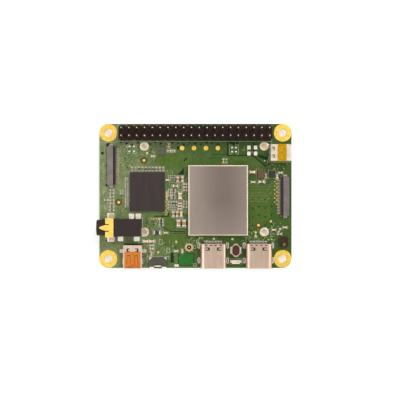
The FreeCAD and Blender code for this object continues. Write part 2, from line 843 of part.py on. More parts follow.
def usb_contacts(prefix, centre, middle):
    """Twelve contact strips on the tongue and their soldered tails behind."""
    wide = ("-usb_contact_width / 2", "usb_contact_width / 2")
    run = ("usb_tongue_start + 0.3", "usb_root_start")
    face = middle + " + usb_tongue_thick / 2"
    strip = box(prefix + "_strip", wide, run, (face, face + " + usb_contact_skin"))
    tail = box(prefix + "_tail", wide, ("usb_depth", "usb_depth + usb_tail_length"), ("0", "0.15"))
    pitch = number("usb_contact_pitch")
    columns = [(number(centre) + (i - 5.5) * pitch, number(FRONT), 0) for i in range(12)]
    scatter(prefix + "_contacts", [strip, tail], columns, TOP)


def hdmi_section(inset):
    """The micro HDMI shell's section, drawn inside its outer face by an inset."""
    half = "(hdmi_width / 2 - %s)" % inset
    foot = "(hdmi_width / 2 - 0.65 - %s * 0.6)" % inset
    low = inset
    high = "hdmi_height - " + inset
    knee = "hdmi_height * 0.45"
    return [("-" + foot, low), (foot, low), (half, knee), (half, high), ("-" + half, high),
            ("-" + half, knee)]


def hdmi_connector():
    """A micro HDMI receptacle: folded shell with latch hooks and springs; y runs inwards."""
    shell = new_body("hdmi_shell")
    outer = new_sketch(shell, "XZ_Plane")
    draw_outline(outer, hdmi_section("0"))
    pad(shell, outer, "hdmi_depth", back=True)
    for sign in ("-", ""):
        edge = sign + "(hdmi_width / 2 - hdmi_wall)"
        limit = sign + "(hdmi_width / 2 + hdmi_wall)"
        legs = new_sketch(shell, "XY_Plane", "-leg_depth")
        leg_inner = sign + "(hdmi_width / 2)"
        for low, high in HDMI_LEGS:
            draw_rectangle(legs, (limit, leg_inner) if sign else (leg_inner, limit), (low, high))
        pad(shell, legs, "leg_depth + hdmi_height * 0.8")
        feet = new_sketch(shell, "XY_Plane")
        toe = sign + "(hdmi_width / 2 + 1.1)"
        draw_rectangle(feet, (toe, leg_inner) if sign else (leg_inner, toe), ("5.1", "6.2"))
        pad(shell, feet, "0.2")
        risers = new_sketch(shell, "XY_Plane")
        draw_rectangle(risers, (limit, edge) if sign else (edge, limit), ("5.1", "6.2"))
        pad(shell, risers, "hdmi_height * 0.55")
    inside = new_sketch(shell, "XZ_Plane")
    draw_outline(inside, hdmi_section("hdmi_wall"))
    pocket(shell, inside)
    cuts = new_sketch(shell, "XY_Plane", "hdmi_height - hdmi_wall * 1.5")
    for side in (-1, 1):
        sign = "-" if side < 0 else ""
        draw_outline(cuts, [(sign + "(%s)" % x, y) for x, y in (
            ("0.9", "5.45"), ("2.0", "5.45"), ("2.0", "6.6"), ("0.9", "6.6"),
            ("0.9", "6.3"), ("1.45", "6.3"), ("1.45", "5.75"), ("0.9", "5.75"))])
        draw_outline(cuts, [(sign + "(%s)" % x, y) for x, y in (
            ("0.55", "1.3"), ("0.75", "1.3"), ("0.9", "4.15"), ("1.65", "4.15"),
            ("1.8", "1.3"), ("2.0", "1.3"), ("1.8", "4.4"), ("0.7", "4.4"))])
    pocket(shell, cuts, "hdmi_wall * 2", back=True)
    place(shell, "hdmi_x", FRONT, TOP)

    block = prism("hdmi_block", "xz", hdmi_section("(hdmi_wall + fit_gap)"), "5.0", "hdmi_depth")
    middle = "hdmi_height * 0.5"
    tongue = middle_box("hdmi_tongue", "hdmi_tongue_width", ("0.8", "5.0"),
                        (middle + " - hdmi_tongue_thick / 2", middle + " + hdmi_tongue_thick / 2"))
    keep("hdmi_insulator", place(fuse("hdmi_insert", block, tongue), "hdmi_x", FRONT, TOP))

    wide = ("-0.1", "0.1")
    face = middle + " - hdmi_tongue_thick / 2"
    strip = box("hdmi_strip", wide, ("1.1", "5.0"), (face + " - usb_contact_skin", face))
    pitch = number("hdmi_contact_pitch")
    columns = [(number("hdmi_x") + (i - 4.5) * pitch, number(FRONT), 0) for i in range(10)]
    scatter("hdmi_contacts", [strip], columns, TOP)

    tape = middle_box("hdmi_tape_strip", "hdmi_tape_width", ("0.05", "0.05 + hdmi_tape_length"),
                      ("hdmi_height", "hdmi_height + tape_thick"))
    keep("hdmi_tape", place(alone("hdmi_tape_placed", tape), "hdmi_x", FRONT, TOP))


# ---------------------------------------------------------------- audio jack


JACK_SPRINGS = (
    # start and end along the jack, and its side
    ("9.95", "11.4", -1),
    ("12.2", "13.7", -1),
    ("6.3", "7.8", 1),
    ("11.6", "13.2", 1),
)


def audio_jack():
    """A 3.5 mm jack lying on the board's left edge; x runs inwards from the edge."""
    nose = cylinder("jack_nose", "-jack_overhang", "0", "jack_axis", "jack_nose_radius",
                    "jack_nose_length", axis="x")
    body_start = "jack_nose_length - jack_overhang"
    body_end = body_start + " + jack_body_length"
    block = box("jack_block", (body_start, body_end), ("-jack_body_width / 2", "jack_body_width / 2"),
                ("0", "jack_body_height"))
    bore = cylinder("jack_bore_cut", "-jack_overhang - 1", "0", "jack_axis", "jack_bore",
                    "jack_nose_length + 1.5", axis="x")
    chamber = box("jack_chamber_cut", (body_start, body_start + " + jack_chamber_length"),
                  ("-jack_chamber", "jack_chamber"), ("jack_axis - jack_chamber", "jack_axis + jack_chamber"))
    cuts = [bore, chamber]
    springs = []
    for index, (low, high, side) in enumerate(JACK_SPRINGS):
        sign = "-" if side > 0 else ""
        face = sign + "jack_body_width / 2"
        pocket_floor = sign + "(jack_body_width / 2 - 0.3)"
        tip = sign + "(jack_bore - 0.1)"
        toe = sign + "(jack_body_width / 2 + 1.2)"
        outside = sign + "(jack_body_width / 2 + 1)"
        order = (lambda a, b: (a, b)) if side > 0 else (lambda a, b: (b, a))
        wide = (low + " - fit_gap", high + " + fit_gap")
        cuts.append(box("jack_recess_%d" % index, wide, order(outside, pocket_floor),
                        ("-1", "jack_axis + 0.5 + fit_gap")))
        cuts.append(box("jack_window_%d" % index, wide, order(outside, sign + "0.5"),
                        ("jack_axis - 0.5 - fit_gap", "jack_axis + 0.5 + fit_gap")))
        foot = box("jack_foot_%d" % index, (low, high), order(toe, face), ("0", "0.2"))
        riser = box("jack_riser_%d" % index, (low, high), order(face, sign + "(jack_body_width / 2 - 0.25)"),
                    ("0", "jack_axis + 0.5"))
        finger = box("jack_finger_%d" % index, (low, high), order(face, tip),
                     ("jack_axis - 0.5", "jack_axis + 0.5"))
        springs.append(fuse("jack_spring_%d" % index, foot, riser, finger))
    rounded = bevel_edges("jack_block_bevelled", block, "0.35", upright)
    housing = cut("jack_cut", fuse("jack_blank", nose, rounded), *cuts)
    keep("audio_jack_housing", place(housing, LEFT, "jack_y", TOP))
    audio_jack_collar()
    scatter("audio_jack_contacts", springs, [(number(LEFT), number("jack_y"), 0)], TOP)


def audio_jack_collar():
    """The sprung earthing collar bent over the nose, its tongue and its soldered feet."""
    half = "(jack_body_width / 2 + run_gap)"
    outer = "(jack_body_width / 2 + run_gap + collar_wall)"
    top = "(2 * jack_nose_radius + run_gap)"
    low = "collar_start"
    high = "collar_start + collar_length"
    toe = "(%s + collar_foot)" % outer
    hoop = prism("collar_hoop", "yz", [
        ("-" + toe, "0"), ("-" + half, "0"), ("-" + half, top), (half, top), (half, "0"), (toe, "0"),
        (toe, "collar_wall"), (outer, "collar_wall"), (outer, top + " + collar_wall"),
        ("-" + outer, top + " + collar_wall"), ("-" + outer, "collar_wall"), ("-" + toe, "collar_wall"),
    ], low, high)
    trim = [box("collar_trim_%d" % i, (low + " - 1", low + " + 0.7"), side, ("-1", "collar_wall + 0.05"))
            for i, side in enumerate((("-5", "-%s - fit_gap" % outer), (outer + " + fit_gap", "5")))]
    slits = [box("collar_slit_%d" % i, (low + " - 1", low + " + 1.2"), side, (top + " - 0.1", top + " + 1"))
             for i, side in enumerate((("-1.25", "-0.95"), ("0.95", "1.25")))]
    tongue = prism("collar_tongue", "xy", [
        (low + " + 0.1", "-0.95"), (low + " + 0.1", "0.95"), (low + " - tongue_reach * 0.75", "0.45"),
        (low + " - tongue_reach", "0.12"), (low + " - tongue_reach", "-0.12"),
        (low + " - tongue_reach * 0.75", "-0.45"),
    ], top, top + " + collar_wall")
    sheet_metal = cut("collar_cut", hoop, *(trim + slits))
    keep("audio_jack_collar", place(fuse("collar_sprung", sheet_metal, tongue), LEFT, "jack_y", TOP))


# ---------------------------------------------------------------- flat cable connectors


def cable_connector(prefix, x, y, turn):
    """A back-flip flat cable connector; local x runs inwards from the cable's mouth."""
    half = "cable_length / 2"
    roof_top = "cable_height"
    body = box(prefix + "_base", ("0", "cable_depth"), ("-" + half, half), ("0", "cable_height"))
    bay = box(prefix + "_bay", ("cable_roof", "cable_depth + 1"),
              ("-(cable_length / 2 - cable_cheek)", "cable_length / 2 - cable_cheek"),
              ("cable_floor", "cable_height + 1"))
    slot_low = "cable_floor"
    slot = box(prefix + "_slot", ("-1", "cable_roof + 0.1"),
               ("-cable_slot_width / 2", "cable_slot_width / 2"),
               (slot_low, slot_low + " + cable_slot"))
    lead_in = prism(prefix + "_lead_in", "xz", [
        ("-0.1", slot_low + " - 0.1"), ("0.35", slot_low), ("0.35", slot_low + " + cable_slot"),
        ("-0.1", slot_low + " + cable_slot + 0.12"),
    ], "-cable_slot_width / 2", "cable_slot_width / 2")
    bearing = box(prefix + "_bearing",
                  ("lock_axis_x - lock_stub - run_gap", "lock_axis_x + lock_stub + run_gap"),
                  ("-cable_length / 2 - 1", "cable_length / 2 + 1"),
                  ("lock_axis_z - lock_stub - run_gap", "cable_height + 1"))
    corners = [box(prefix + "_corner_%d" % i, ("-1", "0.5"), side, ("-1", roof_top + " + 1"))
               for i, side in enumerate((("-" + half + " - 1", "-" + half + " + 0.35"),
                                         (half + " - 0.35", half + " + 1")))]
    housing = cut(prefix + "_moulding", body, bay, slot, lead_in, bearing, *corners)
    keep(prefix + "_connector_housing", place(housing, x, y, TOP, turn))

    span = "(cable_length / 2 - cable_cheek - run_gap)"
    bar = prism(prefix + "_bar", "xz", [
        ("lock_axis_x - 0.92 * lock_nose", "lock_axis_z - 0.4 * lock_nose"),
        ("lock_axis_x - 0.4 * lock_nose", "lock_axis_z - 0.92 * lock_nose"),
        ("lock_axis_x + lock_reach", "lock_axis_z - 0.6 * lock_nose"),
        ("lock_axis_x + lock_reach", "lock_axis_z + 0.92 * lock_nose"),
        ("lock_axis_x - 0.4 * lock_nose", "lock_axis_z + 0.92 * lock_nose"),
        ("lock_axis_x - 0.92 * lock_nose", "lock_axis_z + 0.4 * lock_nose"),
    ], "-" + span, span)
    stub_span = "(cable_length / 2 - fit_gap)"
    stubs = cylinder(prefix + "_stubs", "lock_axis_x", "-" + stub_span, "lock_axis_z", "lock_stub",
                     "2 * " + stub_span, axis="y")
    keep(prefix + "_connector_lock", place(fuse(prefix + "_flap", bar, stubs), x, y, TOP, turn))

    origin = FreeCAD.Vector(number(x), number(y), 0)
    direction = -1 if turn else 1
    tail = box(prefix + "_tail", ("cable_depth", "cable_depth + cable_tail"), ("-0.1", "0.1"), ("0", "0.15"))
    count = int(number("cable_contacts"))
    pitch = number("cable_pitch")
    rows = [(origin.x, origin.y + direction * (i - (count - 1) / 2) * pitch, turn) for i in range(count)]

    plate = box(prefix + "_tab", ("0.7", "1.9"), (half, half + " + 0.45"), ("0", "0.2"))
    ear = box(prefix + "_tab_ear", ("0.9", "1.7"), (half, half + " + 0.12"), ("0", "0.7"))
    mirrored = box(prefix + "_tab_far", ("0.7", "1.9"), ("-%s - 0.45" % half, "-" + half), ("0", "0.2"))
    mirrored_ear = box(prefix + "_tab_ear_far", ("0.9", "1.7"), ("-%s - 0.12" % half, "-" + half),
                       ("0", "0.7"))
    tabs = [fuse(prefix + "_anchor", plate, ear), fuse(prefix + "_anchor_far", mirrored, mirrored_ear)]
    doc.recompute()
    solids = [solid for row in rows for solid in moved(tail.Shape, *row)]
    for tab in tabs:
        solids += moved(tab.Shape, origin.x, origin.y, turn)
    group(prefix + "_connector_contacts", solids, TOP)


# ---------------------------------------------------------------- screw terminal


def screw_terminal():
    """A two-way rising-cage terminal; local +x faces the wires, z = 0 is the board."""
    pole_rows = ("-terminal_pitch / 2", "terminal_pitch / 2")
    half_length = "terminal_length / 2"
    shoulder = "cage_start + cage_height + cage_travel + run_gap"
    well = shoulder + " + 0.3"
    block = box("terminal_block", ("-" + half_length, half_length),
                ("-terminal_width / 2", "terminal_width / 2"), ("0", "terminal_height"))
    cuts = []
    for index, row in enumerate(pole_rows):
        cuts.append(box("terminal_cavity_%d" % index,
                        ("-cage_length / 2 - run_gap", "cage_length / 2 + run_gap"),
                        (row + " - cage_width / 2 - run_gap", row + " + cage_width / 2 + run_gap"),
                        ("cage_start - run_gap", shoulder)))
        throat = "(screw_shank + run_gap * 2)"
        cuts.append(box("terminal_throat_%d" % index, ("-" + throat, throat),
                        (row + " - " + throat, row + " + " + throat), ("cage_start", "terminal_height")))
        cuts.append(cylinder("terminal_well_%d" % index, "0", row, well, "screw_head + run_gap * 2",
                             "terminal_height"))
        cuts.append(box("terminal_mouth_%d" % index, ("0", half_length + " + 1"),
                        (row + " - 0.85", row + " + 0.85"), ("cage_start", "cage_start + 1.7")))
        cuts.append(box("terminal_leg_bay_%d" % index, ("-2.85 - fit_gap", "-2.6 + fit_gap"),
                        (row + " - 0.5 - fit_gap", row + " + 0.5 + fit_gap"), ("-1", "terminal_height + 1")))
        cuts.append(box("terminal_plate_bay_%d" % index, ("-2.7", "0"),
                        (row + " - 0.5 - fit_gap", row + " + 0.5 + fit_gap"), ("1.6 - fit_gap",
                                                                               "1.85 + fit_gap")))
        cuts.append(box("terminal_peep_%d" % index, ("-3.1", "-2.05"), (row + " - 0.6", row + " + 0.6"),
                        ("terminal_height - 0.9", "terminal_height + 1")))
    housing = cut("terminal_moulding", block, *cuts)
    keep("terminal_housing", place(housing, TERMINAL_X, "terminal_y", TOP))

    leg = box("terminal_leg", ("-2.85", "-2.6"), ("-0.5", "0.5"),
              ("-board_thickness - 0.9", "terminal_height - 0.9"))
    plate = box("terminal_plate", ("-2.7", "0.9"), ("-0.5", "0.5"), ("1.6", "1.85"))
    poles = [(number(TERMINAL_X), number("terminal_y + " + row), 0) for row in pole_rows]
    scatter("terminal_contacts", [fuse("terminal_contact", leg, plate)], poles, TOP)

    for index, row in enumerate(pole_rows, start=1):
        spot = (TERMINAL_X, "terminal_y + " + row, TOP)
        suffix = "_%d" % index
        cage = box("cage_block" + suffix, ("-cage_length / 2", "cage_length / 2"),
                   ("-cage_width / 2", "cage_width / 2"),
                   ("cage_start", "cage_start + cage_height"))
        window = box("cage_window" + suffix, ("-5", "5"),
                     ("-cage_width / 2 + cage_wall", "cage_width / 2 - cage_wall"),
                     ("cage_start + cage_wall", "cage_start + cage_height - cage_lid"))
        thread = cylinder("cage_thread" + suffix, "0", "0", "cage_start + cage_wall + 0.1",
                          "screw_shank + run_gap",
                          "cage_height")
        keep("terminal_cage" + suffix, place(cut("cage_cut" + suffix, cage, window, thread), *spot))

        seat = well + " + fit_gap"
        head = cylinder("screw_head" + suffix, "0", "0", seat, "screw_head", "screw_head_height")
        shank_start = "1.9"
        shank = cylinder("screw_shank" + suffix, "0", "0", shank_start, "screw_shank",
                         "(%s) - %s + 0.05" % (seat, shank_start))
        slot = box("screw_slot" + suffix, ("-2", "2"), ("-screw_slot / 2", "screw_slot / 2"),
                   (seat + " + screw_head_height - screw_slot", seat + " + screw_head_height + 1"))
        screw = cut("screw_cut" + suffix, fuse("screw_blank" + suffix, head, shank), slot)
        keep("terminal_screw" + suffix, place(screw, *spot))

    tape = box("terminal_tape_strip", ("-terminal_tape_width / 2 + 0.25", "terminal_tape_width / 2 + 0.25"),
               ("-terminal_width / 2 - 0.15", "terminal_width / 2 + 0.15"),
               ("terminal_height", "terminal_height + tape_thick"))
    keep("terminal_tape", place(alone("terminal_tape_placed", tape), TERMINAL_X, "terminal_y", TOP))


# ---------------------------------------------------------------- switches


def power_switch():
    """A side-pushed switch in the board's front notch; y runs inwards from the edge."""
    rear = "switch_notch + switch_depth"
    plan = [("-switch_front / 2", "switch_notch"), ("switch_front / 2", "switch_notch"),
            ("switch_front / 2", "switch_notch + switch_depth * 0.75"), ("switch_rear / 2", rear),
            ("-switch_rear / 2", rear), ("-switch_front / 2", "switch_notch + switch_depth * 0.75")]
    case = prism("switch_case", "xy", plan, "0", "switch_height - 0.2")
    plunger_low = "0.25"
    plunger_high = "0.25 + plunger_height"
    head_start = "switch_notch + switch_travel + 0.65"
    tunnel = middle_box("switch_tunnel", "plunger_width + 2 * run_gap", ("-1", "switch_notch + 1.1"),
                        (plunger_low + " - run_gap", plunger_high + " + run_gap"))
    chamber = middle_box("switch_chamber", "plunger_width + 0.8 + 2 * run_gap",
                         (head_start + " - run_gap", head_start + " + 0.5 + switch_travel"),
                         (plunger_low + " - run_gap", plunger_high + " + run_gap"))
    bay = middle_box("switch_bay", "plunger_width - 0.2",
                     ("-1", "switch_notch + 0.5 + switch_travel + run_gap"),
                     (plunger_low, "switch_height + 1"))
    keep("power_switch_case",
         place(cut("switch_case_cut", case, tunnel, chamber, bay), "switch_x", FRONT, TOP))

    top = prism("switch_top", "xy", plan, "switch_height - 0.2", "switch_height")
    window = middle_box("switch_window", "plunger_width - 0.2",
                        ("switch_notch - 1", "switch_notch + 0.5 + switch_travel + run_gap"),
                        ("0", "switch_height + 1"))
    keep("power_switch_cover", place(cut("switch_cover_cut", top, window), "switch_x", FRONT, TOP))

    stem = middle_box("plunger_stem", "plunger_width", ("-0.08", head_start + " + 0.05"),
                      (plunger_low, plunger_high))
    head = middle_box("plunger_head", "plunger_width + 0.8", (head_start, head_start + " + 0.4"),
                      (plunger_low, plunger_high))
    bump = middle_box("plunger_bump", "plunger_width - 0.3", ("switch_notch - 0.05", "switch_notch + 0.5"),
                      (plunger_low, "switch_height - 0.05"))
    keep("power_switch_plunger", place(fuse("plunger_blank", stem, head, bump), "switch_x", FRONT, TOP))

    tabs = [box("switch_tab_%d" % i, side, (rear + " - 0.75", rear + " + 0.2"), ("0", "0.2"))
            for i, side in enumerate((("-switch_front / 2 - 0.1", "-switch_rear / 2 + 0.2"),
                                      ("switch_rear / 2 - 0.2", "switch_front / 2 + 0.1")))]
    trimmed = [cut("switch_tab_cut_%d" % i, tab, prism("switch_tab_tool_%d" % i, "xy", plan, "-1", "1"))
               for i, tab in enumerate(tabs)]
    doc.recompute()
    spot = (number("switch_x"), number(FRONT), 0)
    return [solid for piece in trimmed for solid in moved(piece.Shape, *spot)]


def button_outline(grow):
    """The button cover's long octagon, wider by grow on each side."""
    half = "(button_width / 2 + %s)" % grow
    end = "(button_length / 2 + %s)" % grow
    narrow = "(button_width / 6 + %s * 0.4)" % grow
    waist = "(button_length / 4 + %s * 0.4)" % grow
    return [("-" + narrow, "-" + end), (narrow, "-" + end), (half, "-" + waist), (half, waist),
            (narrow, end), ("-" + narrow, end), ("-" + half, waist), ("-" + half, "-" + waist)]


def user_button():
    """The oval user button: base, pressed cover, cap and side terminals."""
    spot = ("button_x", "button_y", TOP)
    cap_low = "button_base - 0.3"
    base = prism("button_base_block", "xy", button_outline("-0.05"), "0", "button_base")
    flange_x = "(button_cap_width / 2 + 0.15)"
    flange_y = "(button_cap_length / 2 - 0.1)"
    pan_x = ("-%s - run_gap" % flange_x, flange_x + " + run_gap")
    pan_y = ("-%s - run_gap" % flange_y, flange_y + " + run_gap")
    dish = box("button_dish", pan_x, pan_y, (cap_low + " - button_travel - run_gap", "button_base + 1"))
    well = new_stadium_prism("button_well", "button_cap_width + 2 * run_gap",
                             "button_cap_length + 2 * run_gap",
                             cap_low + " - button_travel - run_gap", "button_base + 1")
    keep("user_button_base", place(cut("button_base_cut", base, dish, well), *spot))

    cover = prism("button_cover_block", "xy", button_outline("0"), "button_base", "button_cover")
    hole = new_stadium_prism("button_cover_hole", "button_cap_width + 2 * run_gap",
                             "button_cap_length + 2 * run_gap", "button_base - 1", "button_cover + 1")
    pan = box("button_cover_pan", pan_x, pan_y, ("button_base - 1", "button_cover - 0.25"))
    keep("user_button_cover", place(cut("button_cover_cut", cover, hole, pan), *spot))

    stem = new_stadium_prism("button_cap_stem", "button_cap_width", "button_cap_length", cap_low,
                             "button_cap_top")
    flange = box("button_cap_flange", ("-" + flange_x, flange_x), ("-" + flange_y, flange_y),
                 (cap_low, "button_cover - 0.25 - run_gap"))
    keep("user_button_cap", place(fuse("button_cap_blank", stem, flange), *spot))

    sides = [box("button_terminal_%d" % i, side, ("-button_length / 4", "button_length / 4"), ("0", "0.3"))
             for i, side in enumerate((("-button_width / 2 - 0.35", "-button_width / 2 + 0.05"),
                                       ("button_width / 2 - 0.05", "button_width / 2 + 0.35")))]
    doc.recompute()
    place_of_button = (number("button_x"), number("button_y"), 0)
    return [solid for piece in sides for solid in moved(piece.Shape, *place_of_button)]


def new_stadium_prism(name, width, length, low, high):
    """A slot-shaped pillar whose long side runs along y."""
    sketch = doc.addObject("Sketcher::SketchObject", name + "_outline")
    turned = FreeCAD.Rotation(FreeCAD.Vector(0, 0, 1), 90)
    sketch.Placement = FreeCAD.Placement(FreeCAD.Vector(), turned)
    bind(sketch, {"Placement.Base.z": low})
    draw_stadium(sketch, length, width, "0")
    thing = doc.addObject("Part::Extrusion", name)
    thing.Base = sketch
    thing.DirMode = "Normal"
    thing.Solid = True
    return bind(thing, {"LengthFwd": "(%s) - (%s)" % (high, low)})


# ---------------------------------------------------------------- small parts


def soldered_nuts():
    """Threaded nuts: a round shank through the board and a hexagon on the underside."""
    shank = cylinder("nut_shank_solid", "0", "0", "0", "nut_shank", "board_thickness")
    hexagon = many_sided("nut_hexagon", 6, "0", "0", "-nut_height", "nut_flange * 1.1547", "nut_height")
    bore = cylinder("nut_bore_cut", "0", "0", "-nut_height - 1", "nut_bore",
                    "nut_height + 1 + board_thickness - nut_cap")
    scatter("soldered_nuts", [cut("nut", fuse("nut_blank", shank, hexagon), bore)], nut_places(), "0")


def antenna_socket():
    """A miniature coaxial socket: square base with feet, round shell and centre pin."""
    half = "antenna_side / 2"
    base = box("antenna_base", ("-" + half, half), ("-" + half, half), ("0", "0.35"))
    ground = box("antenna_ground", ("-%s - 0.3" % half, half + " + 0.3"), ("-0.5", "0.5"), ("0", "0.12"))
    signal = box("antenna_signal", ("-0.3", "0.3"), ("-%s - 0.3" % half, half + " + 0.1"), ("0", "0.12"))
    keep("antenna_socket_base", place(fuse("antenna_base_blank", base, ground, signal),
                                      "antenna_x", "antenna_y", TOP))
    shell = cylinder("antenna_shell", "0", "0", "0.35", "antenna_shell_radius", "0.9")
    bore = cylinder("antenna_shell_bore", "0", "0", "0", "antenna_shell_radius - 0.2", "3")
    pin = box("antenna_pin", ("-0.2", "0.2"), ("-0.2", "0.2"), ("0.35", "1.0"))
    metal = [cut("antenna_shell_cut", shell, bore), pin]
    scatter("antenna_socket_contacts", metal, [(number("antenna_x"), number("antenna_y"), 0)], TOP)


def microphone():
    """A lidded microphone on its own small laminate, with a sound port in the lid."""
    spot = (RIGHT + " - microphone_inset", FRONT + " + microphone_front", TOP)
    half_x = "microphone_width / 2"
    half_y = "microphone_length / 2"
    laminate = box("microphone_plate", ("-" + half_x, half_x), ("-" + half_y, half_y), ("0", "0.25"))
    keep("microphone_laminate", place(alone("microphone_plate_placed", laminate), *spot))
    lid = box("microphone_lid", ("0.1 - " + half_x, half_x + " - 0.1"),
              ("0.1 - " + half_y, half_y + " - 0.1"), ("0.25", "1.0"))
    port = cylinder("microphone_port", "0.05", "1.1 - " + half_y, "0.6", "0.3", "2")
    bevelled = bevel_edges("microphone_bevelled", lid, "0.45", upright)
    keep("microphone_can", place(cut("microphone_can_cut", bevelled, port), *spot))


def status_lamp():
    """A side-facing lamp: white case with solder ends, and its lens."""
    spot = ("button_x", FRONT + " + lamp_front", TOP)
    half = "lamp_length / 2"
    case = box("lamp_case", ("-" + half, half), ("-0.35", "0.6"), ("0", "1.0"))
    keep("status_led_case", place(alone("lamp_case_placed", case), *spot))
    lens = box("lamp_lens", ("0.7 - " + half, half + " - 0.7"), ("-0.6", "-0.35"), ("0.1", "0.95"))
    keep("status_led_lens", place(alone("lamp_lens_placed", lens), *spot))


def small_case(label, length, width, height, x, y):
    """One plain moulded part with bevelled upright edges."""
    thing = box(label + "_block", ("-%s / 2" % length, "%s / 2" % length),
                ("-%s / 2" % width, "%s / 2" % width), ("0", height))
    bevelled = bevel_edges(label + "_bevelled", thing, "0.2", upright)
    keep(label, place(bevelled, x, y, TOP))


def chip_block(name):
    """A block of one of the named chip sizes, centred on the origin."""
    half_length = name + "_length / 2"
    half_width = name + "_width / 2"
    return box(name + "_chip", ("-" + half_length, half_length), ("-" + half_width, half_width),
               ("0", name + "_height"))


def line_of(count, x, y, step_x, step_y, turn):
    """Evenly spaced places."""
    return [(x + i * step_x, y + i * step_y, turn) for i in range(count)]


def lay_out(clusters):
    """Solids of chip parts: each cluster is an anchor, a size, places from the anchor and, in a
    channel between two bodies, how far from the anchor the row may run before its copies stop."""
    solids = []
    for anchor_x, anchor_y, name, places, *room in clusters:
        origin_x = number(anchor_x)
        origin_y = number(anchor_y)
        for x, y, turn in places:
            half = number(name + ("_width / 2" if turn == 90 else "_length / 2"))
            if not room or abs(x) + half <= number(room[0]):
                solids += moved(blocks[name].Shape, origin_x + x, origin_y + y, turn)
    return solids


PROCESSOR_LEFT = "processor_x - processor_length / 2"
PROCESSOR_RIGHT = "processor_x + processor_length / 2"
PROCESSOR_BACK = "processor_y + processor_width / 2"
PROCESSOR_FRONT = "processor_y - processor_width / 2"
SHIELD_LEFT = "shield_x - shield_length / 2"
SHIELD_RIGHT = "shield_x + shield_length / 2"
SHIELD_BACK = "shield_y + shield_width / 2"
JACK_END = LEFT + " + jack_nose_length - jack_overhang + jack_body_length"
HEADER_FRONT = "header_y - header_width / 2"
# Room between the processor and the shield, and between the left edge and the processor.
CHANNEL = "%s - (%s)" % (SHIELD_LEFT, PROCESSOR_RIGHT)
LEFT_ROOM = "%s - (%s)" % (PROCESSOR_LEFT, LEFT)


def capacitors():
    """Ceramic capacitors, each laid out from the chip, can or edge it stands beside."""
    group("ceramic_capacitors", lay_out([
        (SHIELD_LEFT, "shield_y", "medium", [(-3.45, 7.0, 90), (-1.95, 7.1, 90)]),
        (PROCESSOR_RIGHT, "processor_y", "medium", [(3.6, 1.9, 0)], CHANNEL + " - 1.6"),
        (SHIELD_LEFT, "shield_y", "large", [(-2.65, 1.5, 90), (-3.2, -7.6, 90), (-1.35, -7.6, 90)]),
        (SHIELD_LEFT, PROCESSOR_FRONT, "medium", line_of(3, -4.95, -1.0, 1.3, 0.0, 90)),
        (PROCESSOR_RIGHT, "processor_y", "small", [(0.65, -2.1, 90), (0.65, -0.5, 90)]),
        (PROCESSOR_RIGHT, "processor_y", "small", [(0.95, 3.9, 0)], CHANNEL + " - 3.95"),
        (JACK_END, FRONT, "medium", [(1.4, 8.9, 0), (3.4, 8.9, 0)]),
        ("switch_x", FRONT, "small", [(-2.2, 4.7, 90), (-2.1, 6.5, 0), (-2.1, 7.5, 0), (2.6, 11.7, 0)]),
        ("antenna_x", "antenna_y", "small", [(-4.4, -1.2, 0), (-2.3, -1.25, 90)]),
        (SHIELD_LEFT, "processor_y", "small", line_of(3, -1.0, 2.5, 0.0, -1.0, 0)),
        (SHIELD_LEFT, "processor_y", "small", line_of(3, -2.8, -3.9, 0.0, -0.9, 0)),
        (SHIELD_LEFT, SHIELD_BACK, "small", [(11.7, 1.4, 90)]),
        (RIGHT + " - inductor_inset", BACK + " - inductor_back", "medium", [(-2.7, 0.7, 0), (0.35, -2.5, 0)]),
        (RIGHT + " - inductor_inset", BACK + " - inductor_back", "small",
         [(1.75, -0.6, 90), (-2.5, -2.6, 0)]),
        (RIGHT + " - display_inset", "display_y", "small", [(-4.0, 6.6, 90), (-2.9, 7.85, 0)]),
        (RIGHT, FRONT, "small", [(-5.9, 12.7, 0), (-4.1, 12.5, 60), (-4.0, 11.3, 0), (-2.2, 13.5, 0)]),
        ("processor_x", BACK, "small", [(7.1, -7.2, 90), (7.2, -9.0, 0), (8.6, -9.0, 0)]),
        ("processor_x", PROCESSOR_BACK, "small", [(1.8, 5.35, 0)]),
    ]), TOP)


